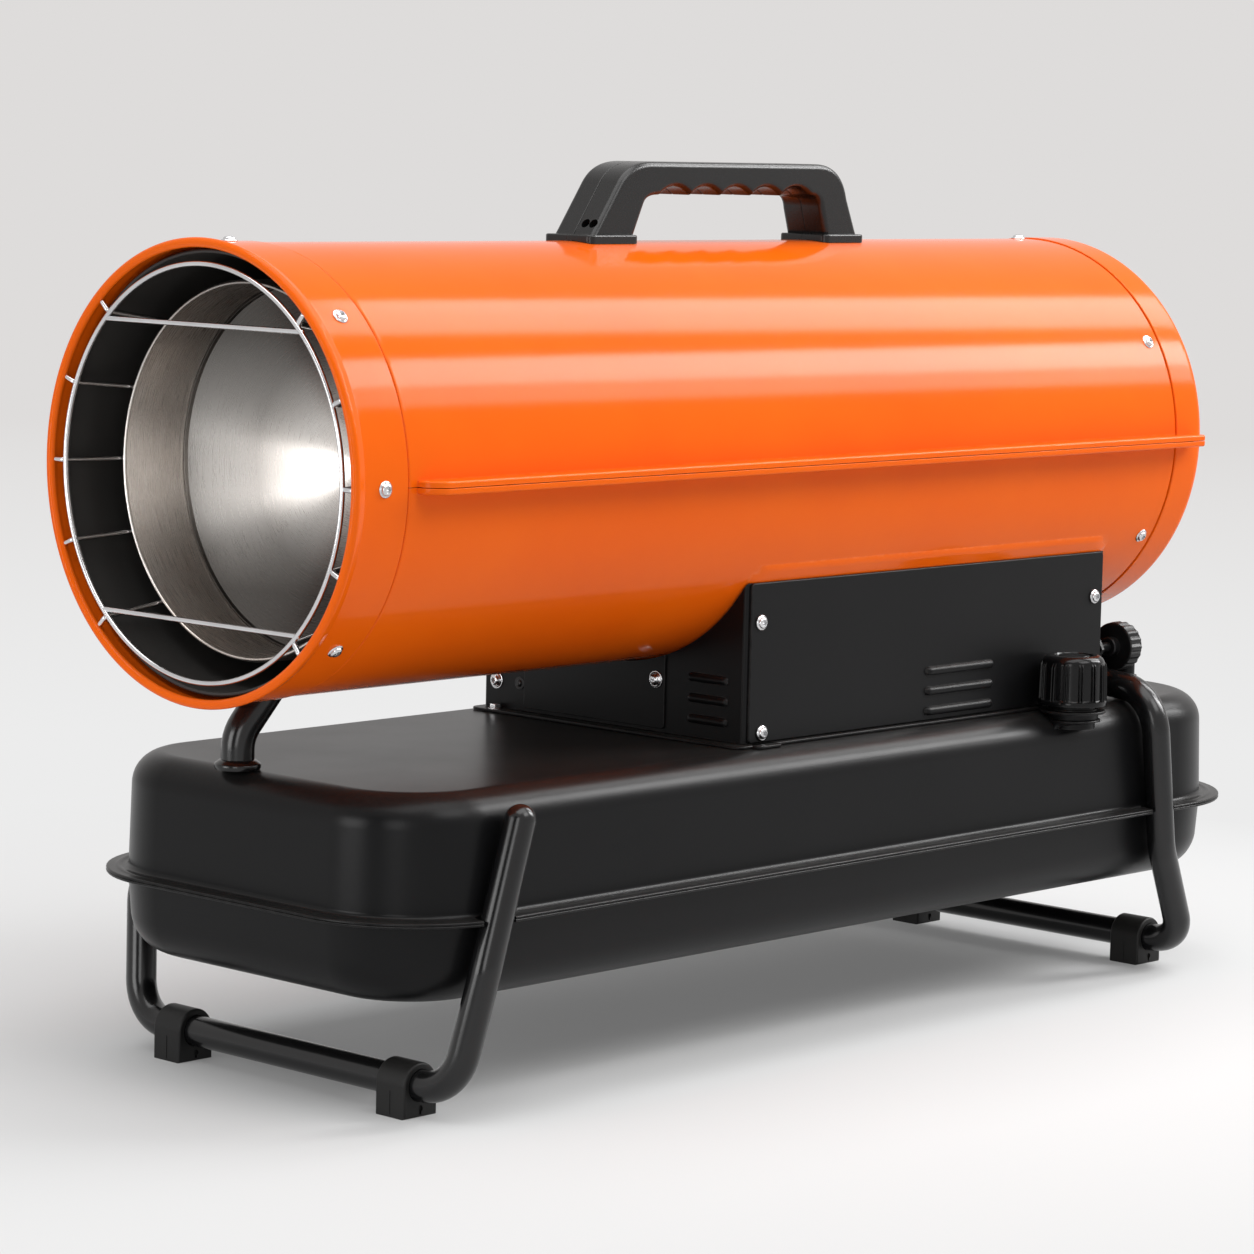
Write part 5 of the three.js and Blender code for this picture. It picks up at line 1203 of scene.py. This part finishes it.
# pressed hood over a slot: its upper rim grows out of the wall, its lower rim stands open
def addHood(bm, origin, along, out, length):
    origin, along, out = Vector(origin), Vector(along), Vector(out)
    up = Vector((0, 0, 1))
    half = length / 2
    reach = louvre["height"] / 2
    flat = half - reach * 1.3
    places = [-half + 0.02 + (2 * half - 0.04) * i / 48 for i in range(49)]
    turns = [math.radians(100 - 158 * k / 14) for k in range(15)]  # from the root over to the open rim

    def section(place, rise, tall):
        beyond = max(0.0, abs(place) - flat) / (half - flat)
        size = math.sqrt(max(0.0, 1 - beyond ** 2))
        return [origin + along * place + out * (rise * size * max(0.0, math.cos(a)) - 0.15)
                + up * (tall * (0.35 + 0.65 * size) * math.sin(a)) for a in turns]

    rings = []
    for place in places:
        outer = section(place, louvre["rise"], reach)
        inner = section(place * (1 - 1.2 / length), louvre["rise"] - louvre["sheet"], reach - louvre["sheet"])
        rings.append(outer + list(reversed(inner)))
    skin(bm, rings)


# cutter for the slot behind a hood; along is (1, 0) on the near side and (0, 1) on the front
def slotCutter(origin, along, length):
    x, y, z = origin
    half = length / 2 - louvre["slotIn"]
    u, v = (half, 4) if along[0] else (4, half)
    return solid(block, (x - u, y - v, z - louvre["slotDown"]), (x + u, y + v, z + louvre["slotUp"]))


def louvreRows(x, y, z):
    return [(x, y, z - i * louvre["pitch"]) for i in range(louvre["count"])]


def sideCoverPiece():
    b, s = box, sideLouvres
    edge, near = b["coverEdge"], b["near"]
    outline = roundedRectangle(b["front"] + edge, b["wallFloor"], b["rear"] - edge, b["nearTop"], 2.5)
    bm = solid(prism, "y", outline, near, near + b["coverThick"], startEase=0.8, steps=4)
    rows = louvreRows(s["middle"], near, s["z"])
    bm = carve(bm, *[slotCutter(row, (1, 0), s["length"]) for row in rows])
    for row in rows:
        addHood(bm, row, (1, 0, 0), (0, -1, 0), s["length"])
    makePiece("sideCoverPanel", bm, "blackSteel", "side_cover", crease=40)


# holes in the rear wall for the knob's bush, the switch, the inlet and the fuel line
def rearHoles():
    start, end = box["rear"] - 4, box["rear"] + 3
    holes = [bar("x", start, end, controls["bush"], (0, controls["knobY"], controls["knobZ"]), 32)]
    for part, tall in ((controls["rocker"], controls["rocker"]["height"]),
                       (controls["inlet"], controls["inlet"]["height"] / 2)):
        y, z, half = part["y"], controls["switchZ"], part["width"] / 2
        holes.append(solid(block, (start, y - half, z - tall), (end, y + half, z + tall)))
    return holes + [bar("x", start, end, pickup["holeInWall"], (0, pickup["lineY"], pickup["lineZ"]), 32)]


def housingPiece():
    b, s = box, frontLouvres
    front, rear, far, low, sheet = b["front"], b["rear"], b["far"], b["wallFloor"], b["sheet"]
    near = b["near"] + sheet
    bm = solid(prism, "z", roundedRectangle(front, near, rear, far, b["corner"], 8), low, axisHeight)
    inside = roundedRectangle(front + sheet, near + sheet, rear - sheet, far - sheet, 1.0, 4)
    hollow = solid(prism, "z", inside, low - 1, axisHeight + 1)
    opening = solid(block, (front + 14, near - 1, low - 2), (rear - 14, near + 8, axisHeight + 2))
    saddleCut = barrelBar(front - 20, rear + 20, b["topRadius"])
    trim = solid(block, (front - 20, near - 20, b["nearTop"]), (rear + 20, near + 9, axisHeight + 20))
    y0, y1, z0, z1 = b["frontWindow"]
    window = solid(block, (front - 3, y0, z0), (front + 4, y1, z1))
    rows = louvreRows(front, s["middle"], s["z"])
    slots = [slotCutter(row, (0, 1), s["length"]) for row in rows]
    bm = carve(bm, hollow, opening, saddleCut, trim, window, *rearHoles(), *slots)
    for row in rows:
        addHood(bm, row, (0, 1, 0), (-1, 0, 0), s["length"])
    makePiece("housingWalls", bm, "blackSteel", "control_housing", crease=35)


def frontCoverPiece():
    b = box
    y0, y1 = b["frontCover"]
    outline = roundedRectangle(y0, b["wallFloor"] + 2, y1, axisHeight, 2)
    bm = solid(prism, "x", outline, b["front"] - b["frontThick"], b["front"] - 0.15, startEase=0.5)
    bm = carve(bm, barrelBar(b["front"] - 20, b["front"] + 20, b["topRadius"]))
    makePiece("frontCoverPanel", bm, "blackSteel", "front_cover", crease=35)


# base plate with the small tab under the near front corner
def basePiece():
    b = box
    low, high = b["floor"], b["floor"] + b["baseThick"]
    plate = roundedRectangle(b["front"] - b["frontRim"], b["near"] - b["rim"],
                             b["rear"] + b["rim"], b["far"] + b["rim"] - 1, 6)
    tab = roundedRectangle(b["front"] + 2, b["near"] - 9, b["front"] + 23, b["near"], 3.5)
    bm = bmesh.new()
    for outline in (plate, tab):
        prism(bm, "z", outline, low, high, ease=0.6, startEase=0.3)
    makePiece("boxBase", bm, "blackSteel", "base_plate", crease=35)


controls = {
    "knobY": -92.0, "knobZ": 203.0, "knobFrom": 280.0, "knobDepth": 12.0, "knobRadius": 16.0, "flutes": 18,
    "fluteDeep": 1.1, "spindle": 3.0, "bush": 4.8, "nut": 13.6, "nutThick": 3.0, "rockerTilt": -7.0,
    "switchZ": 193.05,  # middle of the switch and the inlet; the rocker's height is half its hole's
    "rocker": {"y": -30.0, "width": 19.0, "height": 13.0},
    "inlet": {"y": 40.0, "width": 28.0, "height": 20.0},
}


def knobPiece():
    c = controls
    start, end, radius = c["knobFrom"], c["knobFrom"] + c["knobDepth"], c["knobRadius"]
    y, z = c["knobY"], c["knobZ"]
    centre = (0, y, z)
    heel = [(start + 1.2 * (1 - math.cos(a)), radius - 3.0 + 1.8 * math.sin(a)) for a in quarter(4)[1:]]
    brow = [(end - 2.2 + 2.2 * math.sin(a), radius - 3.1 + 2.1 * math.cos(a)) for a in quarter(8)]
    face = [(end, radius - 5.6), (end - 0.4, radius - 6.4), (end - 1.0, radius - 7.0), (end - 1.0, 0.02)]
    shape = [(start, 0.02), (start, radius - 3.0)] + heel + [(start + 3, radius - 1.0)] + brow + face
    rings = []
    for a in around(c["flutes"] * 10):
        wave = 0.5 + 0.5 * math.cos(a * c["flutes"])
        ring = []
        for along, r in shape:
            grip = max(0.0, min(1.0, (r - (radius - 4.2)) / 2.0)) * (1.0 if start + 0.8 < along < end - 0.2 else 0.0)
            cut = c["fluteDeep"] * (1 - wave ** 0.6) * grip
            ring.append(Vector((along, (r - cut) * math.cos(a), (r - cut) * math.sin(a))) + Vector(centre))
        rings.append(ring)
    bm = solid(skin, rings, loop=True)
    addPart(bm, solid(block, (end - 0.9, y - 0.8, z + 3.2), (end + 0.0, y + 0.8, z + radius - 6.8), 0.3))
    revolve(bm, "x", [(start - 5, 0), (start - 5, 5.4), (start - 4.4, 6), (start + 0.5, 6), (start + 0.5, 0)],
            centre, 48)
    makePiece("flutedKnob", bm, "blackPlastic", "thermostat_knob", body="knob", crease=40)
    low, high = box["rear"] - 11, start - 4.5
    bm = solid(revolve, "x", [(low, 0), (low, c["spindle"]), (high, c["spindle"]), (high, 0)], centre, 40)
    makePiece("knobSpindle", bm, "blackSteel", body="knob", crease=40)


def bushPiece():
    c = controls
    start = box["rear"] + 0.3
    corners = hexagon(c["knobY"], c["knobZ"], c["nut"] / 1.732)
    bm = solid(prism, "x", corners, start, start + c["nutThick"], ease=0.5)
    hole = bar("x", start - 2, start + 6, c["bush"], (0, c["knobY"], c["knobZ"]), 40)
    makePiece("spindleNut", carve(bm, hole), "blackSteel", "bush_nut", crease=35)


# fitting on the rear wall: a flange outside and a body that reaches in; w and h are half the hole's sizes
def wallFitting(y, z, w, h, flangeW, flangeH, corner, thick, ease, deep):
    rear = box["rear"]
    outline = roundedRectangle(y - w - flangeW, z - h - flangeH, y + w + flangeW, z + h + flangeH, corner)
    bm = solid(prism, "x", outline, rear + 0.15, rear + thick, ease=ease)
    block(bm, (rear - deep, y - w + 0.3, z - h + 0.3), (rear + 0.1, y + w - 0.3, z + h - 0.3), 0.4)
    return bm


def switchPieces():
    c = controls
    y, z = c["rocker"]["y"], c["switchZ"]
    w, h = c["rocker"]["width"] / 2, c["rocker"]["height"]
    rear = box["rear"]
    bm = wallFitting(y, z, w, h, 2, 2, corner=2, thick=2.2, ease=0.8, deep=20)
    well = solid(prism, "x", roundedRectangle(y - w + 2, z - h + 2, y + w - 2, z + h - 2, 0.6), rear - 8, rear + 6)
    makePiece("switchBezel", carve(bm, well), "blackPlastic", "switch_frame", crease=35)
    pins = bmesh.new()
    for lift in (-6, 0, 6):
        block(pins, (rear - 27, y - 3, z + lift - 0.4), (rear - 19, y + 3, z + lift + 0.4), 0.15)
    makePiece("switchPins", pins, "brass")
    pivot = rear - 1
    reach = h - 2 - 0.3
    tilt = math.radians(c["rockerTilt"])

    def onCircle(u):
        return (u, math.sqrt(reach ** 2 - u ** 2))

    side = [onCircle(3.2 - 7.2 * i / 14) for i in range(15)] + [(-5, 3)]
    valley = [(1.0 + 2.2 * (i / 12) ** 1.15, onCircle(3.2)[1] * i / 12) for i in range(12)]
    upper = valley[1:] + side
    outline = [valley[0]] + upper + [(u, -v) for u, v in reversed(upper)]
    outline = [(pivot + u * math.cos(tilt) + v * math.sin(tilt), z - u * math.sin(tilt) + v * math.cos(tilt))
               for u, v in outline]
    bm = solid(prism, "y", outline, y - w + 2.5, y + w - 2.5, ease=0.5, startEase=0.5)
    makePiece("switchPaddle", bm, "capPlastic", "switch_rocker", body="rocker", crease=35)


def inletPieces():
    c = controls
    y, z = c["inlet"]["y"], c["switchZ"]
    w, h = c["inlet"]["width"] / 2, c["inlet"]["height"] / 2
    rear = box["rear"]
    bm = wallFitting(y, z, w, h, 9, 3, corner=4, thick=3, ease=0.9, deep=24)
    corners = [(-w + 2.5, -h + 2.5), (w - 2.5, -h + 2.5), (w - 2.5, h - 5.5), (w - 6, h - 2.5), (-w + 6, h - 2.5),
               (-w + 2.5, h - 5.5)]
    socket = solid(prism, "x", [(y + u, z + v) for u, v in corners], rear - 15, rear + 6)
    makePiece("inletBody", carve(bm, socket), "blackPlastic", "power_inlet", crease=35)
    bm = bmesh.new()
    for shift, lift in ((-7, -1), (0, 2), (7, -1)):
        block(bm, (rear - 16, y + shift - 1, z + lift - 2), (rear - 2, y + shift + 1, z + lift + 2), 0.3)
    makePiece("inletPins", bm, "brightWire")
    bm = bmesh.new()
    for side in (-1, 1):
        setAt(bm, panScrew, (rear + 2.9, y + side * (w + 5), z), (1, 0, 0), spin=20 * side, size=0.62)
    makePiece("inletScrews", bm, "screwSteel", crease=40)


sideCoverPiece()
housingPiece()
frontCoverPiece()
basePiece()
knobPiece()
bushPiece()
switchPieces()
inletPieces()
print("control box made")


# handle

handle = {
    "front": -117.0, "length": 236.0, "top": 496.0, "half": 16.0, "edge": 3.4, "grip": 18.5, "over": 1.0,
    # outer line, in from either end: foot of the front slope, its head and how far under the top, the curve after it,
    # the curve before the rear slope, that slope's head and how far under the top, its foot
    "toe": 4.0, "head": (26.0, 11.7), "brow": (34.2, 54.0), "nape": (40.0, 18.0), "tail": (13.0, 20.0), "heel": 3.0,
    # inner line, in from either end: foot, knee, bend, start of the grip, and how far the knee lies under the grip
    "frontLeg": (38.0, 47.0, 49.5, 5.0), "rearLeg": (32.0, 37.0, 38.0, 46.0, 8.0),
    "pitch": 26.0, "hollow": 4.8,  # finger hollows
    "padRise": 3.6, "padFlare": 2.6, "padFront": 40.0, "padRear": 36.0,
    "holes": ((-5.0, 10.0), (-11.0, 10.0)), "holeDeep": 7.0, "holeRadius": 2.9,  # across, and up the front slope
}
handleFoot = axisHeight + barrel["radius"] + handle["over"]


def curve(start, control, end, steps=14):
    places = []
    for i in range(1, steps + 1):
        t = i / steps
        places.append(tuple((1 - t) ** 2 * a + 2 * t * (1 - t) * b + t * t * c for a, b, c in zip(start, control, end)))
    return places


def line(start, end, steps=3):
    return [tuple(a + (b - a) * i / steps for a, b in zip(start, end)) for i in range(1, steps + 1)]


# side outline of the arch in (x, z) with its finger hollows
def handleOutline():
    h = handle
    front, rear, top, foot = h["front"], h["front"] + h["length"], h["top"], handleFoot
    low = top - h["grip"]
    points = [(front + h["toe"], foot)]
    points += line(points[-1], (front + h["head"][0], top - h["head"][1]), 6)
    points += curve(points[-1], (front + h["brow"][0], top), (front + h["brow"][1], top), 18)
    points += line(points[-1], (rear - h["nape"][0], top), 16)
    points += curve(points[-1], (rear - h["nape"][1], top), (rear - h["tail"][0], top - h["tail"][1]), 18)
    points += line(points[-1], (rear - h["heel"], foot), 5)
    inFoot, inKnee, inBend, inGrip, drop = h["rearLeg"]
    points += line(points[-1], (rear - inFoot, foot), 3)
    points += line(points[-1], (rear - inKnee, low - drop), 4)
    points += curve(points[-1], (rear - inBend, low), (rear - inGrip, low), 8)
    count = int((h["length"] - inGrip - h["brow"][1] - 4) // h["pitch"])
    for i in range(count):
        x = rear - inGrip - i * h["pitch"]
        points += curve(points[-1], (x - h["pitch"] / 2, low + 2 * h["hollow"]), (x - h["pitch"], low), 14)
    outFoot, outKnee, outBend, drop = h["frontLeg"]
    points += curve(points[-1], (front + outBend, low), (front + outKnee, low - drop), 8)
    points += line(points[-1], (front + outFoot, foot), 3)
    return points


# place and direction on the sloping front face of the arch
def handleFace(across, rise):
    h = handle
    foot = Vector((h["front"] + h["toe"], 0, handleFoot))
    head = Vector((h["front"] + h["head"][0], 0, h["top"] - h["head"][1]))
    slope = (head - foot).normalized()
    return foot + slope * rise + Vector((0, across, 0)), Vector((-slope.z, 0, slope.x))


def handleHole(across, rise):
    place, way = handleFace(across, rise)
    bm = bar("z", -handle["holeDeep"], 3, handle["holeRadius"], (0, 0, 0), 32)
    move = Matrix.Translation(place) @ way.to_track_quat("Z", "Y").to_matrix().to_4x4()
    bmesh.ops.transform(bm, matrix=move, verts=bm.verts)
    return bm


# rectangular foot of the handle between two places, bored to sit on the casing
def handlePad(start, end, side):
    h = handle
    half = h["half"] + h["padFlare"]
    top = axisHeight + barrel["shellRadius"] + h["padRise"]
    outline = ([(start, 0.15), (end, 0.15)] + arcPoints(end - 4, half - 4, 4, 0, 90, 6)
               + arcPoints(start + 4, half - 4, 4, 90, 180, 6))
    pad = solid(prism, "z", [(x, side * y) for x, y in outline], top - 9, top, ease=1.0, startEase=0.2)
    return carve(pad, barrelBar(h["front"] - 10, h["front"] + h["length"] + 10, barrel["shellRadius"] + 0.3))


def handlePieces():
    h = handle
    front, rear = h["front"], h["front"] + h["length"]
    for name, side, node in (("handleNear", -1, "handle_near"), ("handleFar", 1, "handle_far")):
        bm = solid(prism, "y", handleOutline(), 0.15, h["half"], ease=h["edge"], startEase=0.45, steps=6)
        for vert in bm.verts:
            vert.co.y *= side
        if side < 0:
            bm = carve(bm, *[handleHole(across, rise) for across, rise in h["holes"]])
        addPart(bm, handlePad(front, front + h["padFront"], side))
        addPart(bm, handlePad(rear - h["padRear"], rear, side))
        makePiece(name, bm, "handlePlastic", node, crease=42)
    bm = bmesh.new()
    for across, rise in h["holes"]:
        place, way = handleFace(across, rise)
        setAt(bm, panScrew, place - way * 6.6, way, spin=31, size=0.5)
    makePiece("handleScrews", bm, "blackSteel", crease=40)


handlePieces()
print("handle made")


# fuel fittings

def fuelPieces():
    p = pickup
    x, y, z = p["x"], p["y"], p["lineZ"]
    low, seat = tank["bottom"] + p["overFloor"], tank["top"] + 0.3
    stem, flange, body = p["radius"] - 0.1, p["flange"], p["body"]
    bm = solid(revolve, "z", [(low, 0), (low, stem), (seat, stem), (seat, flange - 0.1), (seat + 0.8, flange),
                              (seat + 2.4, flange), (seat + 3, flange - 0.6), (seat + 3, 0)], (x, y, 0), 48)
    prism(bm, "z", hexagon(x, y, p["hex"]), seat + 3, seat + 10, ease=0.6, startEase=0.4)
    revolve(bm, "z", [(seat + 9.9, 0), (seat + 9.9, body), (seat + 18.6, body)]
            + arcPoints(seat + 18.6, body - 1.2, 1.2, 90, 0, 4) + [(seat + 19.8, 0)], (x, y, 0), 48)
    barb = [(2, 0), (2, 3.2)]
    for start in (5.2, 7.4, 9.6):
        barb += [(start, 3.1), (start, 4.0), (start + 2.0, 3.2)]
    barb += [(12, 3.0), (12, 0)]
    revolve(bm, "y", [(y + along, r) for along, r in barb], (x, 0, z), 40)
    makePiece("pickupUnion", bm, "blackSteel", "pickup_fitting", crease=35)
    run = p["lineY"]
    path = bentPath([(x, y + 12.3, z), (x, run, z), (-42, run, z), (-42, -6, z + 8), (-51, 0, z + 12),
                     (-51, 0, axisHeight), (-80.7, 0, axisHeight)], 8, 10)
    makePiece("fuelHoseRun", solid(sweep, path, p["hose"], 24), "fuelHose", "fuel_line", crease=50)


fuelPieces()


# small fasteners on the box

boxScrews = {
    "side": ((-59.0, 242.0), (-56.5, 179.5), (247.5, 237.0), (247.5, 180.0)),  # x and z
    "front": ((95.5, 190.0), (-33.5, 204.0)), "rivet": (76.5, 190.0),  # y and z
    "bolt": (-74.5, 92.0),  # x and y, on the base plate
}


def boxFasteners():
    c = boxScrews
    washer = washerTemplate(4.5, 1.5, 0.5)
    ring = washerTemplate(5.0, 1.5, 0.7)
    heads, pads, rings = bmesh.new(), bmesh.new(), bmesh.new()
    for i, (x, z) in enumerate(c["side"]):
        setAt(pads, washer, (x, box["near"], z), (0, -1, 0))
        setAt(heads, panScrew, (x, box["near"] - 0.5, z), (0, -1, 0), spin=23 * i)
    for i, (y, z) in enumerate(c["front"]):
        face = box["front"] - (box["frontThick"] if box["frontCover"][0] < y < box["frontCover"][1] else 0)
        setAt(rings, ring, (face, y, z), (-1, 0, 0))
        setAt(heads, panScrew, (face - 0.7, y, z), (-1, 0, 0), spin=17 + 31 * i)
    y, z = c["rivet"]
    setAt(pads, washer, (box["front"], y, z), (-1, 0, 0), size=0.85)
    setAt(pads, rivetTemplate(2.2, 1.2), (box["front"] - 0.4, y, z), (-1, 0, 0))
    x, y = c["bolt"]
    plate = box["floor"] + box["baseThick"]
    setAt(heads, hexTemplate(7.0, 2.6), (x, y, plate + 0.4), (0, 0, 1), spin=12)
    setAt(rings, washerTemplate(4.2, 1.2, 0.5), (x, y, plate), (0, 0, 1))
    makePiece("boxScrewHeads", heads, "screwSteel", crease=40)
    makePiece("boxScrewWashers", pads, "blackPlastic", crease=40)
    makePiece("frontScrewWashers", rings, "screwSteel", crease=40)


boxFasteners()
print("fittings and fasteners made")


# remaining solids keep their shape: rounded edges and a worked finish

kept = {
    "burner_head": "hotSteel", "spray_nozzle": "brass", "igniter": "ceramic", "flame_eye": "blackPlastic",
    "fan_motor": "blackSteel", "motor_bracket": "blackSteel", "air_pump": "castAluminium",
    "pump_filter": "blackPlastic", "cap_gasket": "rubber", "fuel_filter": "blackPlastic",
    "ignition_transformer": "blackSteel", "control_board": "boardGreen", "thermostat": "blackPlastic",
}
for nodeName, look in kept.items():
    item = nodes[nodeName]
    item.data.materials.clear()
    item.data.materials.append(looks[look][0])
    weld = item.modifiers.new("weld", "WELD")
    weld.merge_threshold = 0.00001
    rim = item.modifiers.new("rim", "BEVEL")
    rim.width = 0.4 * mm
    rim.segments = 2
    rim.limit_method = "ANGLE"
    rim.angle_limit = math.radians(40)
    rim.harden_normals = True
print("kept solids finished:", len(kept))


# studio

studio = {
    "floor": colour(236, 236, 236), "floorReach": 60.0, "mottle": 0.985, "shade": (0.74, 0.74, 0.74, 1),
    "backdrop": colour(222, 220, 219), "horizon": (1.2, 5.0), "ambient": 0.2,
    "shadowRoom": (0.32, 0.85), "shadowGlow": 0.15,  # metres over which the lit floor gives way to its own glow
    "lamps": (  # name, place, long side, aim, length, width, radiance
        ("stripOver", (2450, -420, 2180), (1, -0.214, 0), (2450, 0, 332), 2500, 740, 8.0),
        ("stripNear", (2450, -1290, 1715), (1, -0.084, -0.09), (2450, 0, 332), 2500, 500, 16.5),
        ("stripNearEdge", (2450, -1560, 1385), (1, -0.084, -0.09), (2450, 0, 332), 2500, 300, 7.0),
        ("topSoft", (-500, -200, 2400), (1, 0, 0), (-500, -200, 0), 2400, 2400, 2.6),
        ("keySoft", (100, -1950, 2050), (1, 0, 0), (0, 0, 300), 1400, 1100, 4.2),
        ("frontSoft", (-1817, 312, 370), (0.21, 0.98, 0), (-350, 0, 332), 700, 680, 4.6),
        ("frontNear", (-1579, -860, 470), (0.57, -0.82, 0), (-250, -20, 250), 460, 760, 3.4),
    ),
    "flag": (-2300, (-1300, -20), (0, 1500)),  # x, span of y and of z of a dark card that only reflections show
    "camera": (-1821.5, -1655.2, 512.1), "yaw": 46.77, "pitch": 6.66, "roll": 1.28, "lens": 121.55,
}


# flat card through four corners, given in metres
def addCard(name, corners):
    bm = bmesh.new()
    bm.faces.new([bm.verts.new(corner) for corner in corners])
    return addObject(name, toMesh(bm, name))


# 1 where the camera sees the surface itself, or a reflection of it, or sees it through glass
def seenDirectly(tree):
    path = addNode(tree, "ShaderNodeLightPath").outputs
    bent = maths(tree, "MAXIMUM", path["Is Glossy Ray"], path["Is Transmission Ray"])
    return maths(tree, "MAXIMUM", path["Is Camera Ray"], bent)


# soft rectangular lamp: its long side lies along one direction and it faces a point; sizes in millimetres
def addLamp(name, place, along, target, length, width, radiance):
    lamp = bpy.data.lights.new(name, "AREA")
    lamp.shape = "RECTANGLE"
    lamp.size = length * mm
    lamp.size_y = width * mm
    lamp.energy = radiance * math.pi * length * width * mm * mm
    item = addObject(name, lamp)
    side = Vector(along).normalized()
    back = Vector(place) - Vector(target)
    back = (back - side * back.dot(side)).normalized()
    turn = Matrix((side, back.cross(side), back)).transposed().to_4x4()
    item.matrix_world = Matrix.Translation(Vector(place) * mm) @ turn


def buildFloor():
    s = studio
    reach = s["floorReach"]
    floor = addCard("studioFloor",
                    [(x, y, 0) for x, y in ((-reach, -reach), (reach, -reach), (reach, reach), (-reach, reach))])
    material, tree, shader = newMaterial("floorCard", Roughness=0.9)
    where = objectPlace(tree)
    mottled = tuple(c * s["mottle"] for c in s["floor"][:3]) + (1,)
    base = blendColours(tree, noise(tree, where, 3.0, 2.0), s["floor"], mottled)
    fill(tree, shader.inputs["Base Color"], blendColours(tree, 1.0, base, s["shade"], "MULTIPLY"))
    away = vectorMaths(tree, "LENGTH", where)["Value"]
    glowColour = blendColours(tree, spread(tree, away, *s["horizon"], 0.0, 1.0), s["floor"], s["backdrop"])
    glow = addNode(tree, "ShaderNodeEmission", Color=glowColour, Strength=1.0)
    share = times(tree, seenDirectly(tree), spread(tree, away, *s["shadowRoom"], s["shadowGlow"], 1.0))
    card = addNode(tree, "ShaderNodeMixShader", i0=share, i1=shader.outputs["BSDF"], i2=glow.outputs["Emission"])
    out = next(node for node in tree.nodes if node.type == "OUTPUT_MATERIAL")
    fill(tree, out.inputs["Surface"], card.outputs["Shader"])
    floor.data.materials.append(material)


def buildStudio():
    s = studio
    buildFloor()
    world = bpy.data.worlds.new("studioWorld")
    scene.world = world
    world.use_nodes = True
    tree = world.node_tree
    ambient = (s["ambient"], s["ambient"], s["ambient"], 1.0)
    backdrop = blendColours(tree, seenDirectly(tree), ambient, s["backdrop"])
    fill(tree, tree.nodes["Background"].inputs["Color"], backdrop)
    for lamp in s["lamps"]:
        addLamp(*lamp)
    x, (near, far), (low, high) = s["flag"]
    flag = addCard("darkFlag",
                   [(x * mm, y * mm, z * mm) for y, z in ((near, low), (far, low), (far, high), (near, high))])
    flag.data.materials.append(newMaterial("flagCloth", Base_Color=colour(20, 20, 20), Roughness=1.0)[0])
    flag.visible_camera = flag.visible_diffuse = flag.visible_shadow = False


def buildCamera():
    s = studio
    yaw, pitch, roll = (math.radians(s[k]) for k in ("yaw", "pitch", "roll"))
    ahead = Vector((math.sin(yaw) * math.cos(pitch), math.cos(yaw) * math.cos(pitch), -math.sin(pitch)))
    right = Vector((math.cos(yaw), -math.sin(yaw), 0))
    up = right.cross(ahead)
    across = right * math.cos(roll) + up * math.sin(roll)
    upright = up * math.cos(roll) - right * math.sin(roll)
    data = bpy.data.cameras.new("view")
    data.sensor_width = 36
    data.lens = s["lens"]
    data.clip_end = 200
    item = addObject("view", data)
    turn = Matrix((across, upright, -ahead)).transposed().to_4x4()
    item.matrix_world = Matrix.Translation(Vector(s["camera"]) * mm) @ turn
    scene.camera = item


buildStudio()
buildCamera()
scene.view_settings.view_transform = "Standard"
print("studio and camera made")

bpy.context.view_layer.update()
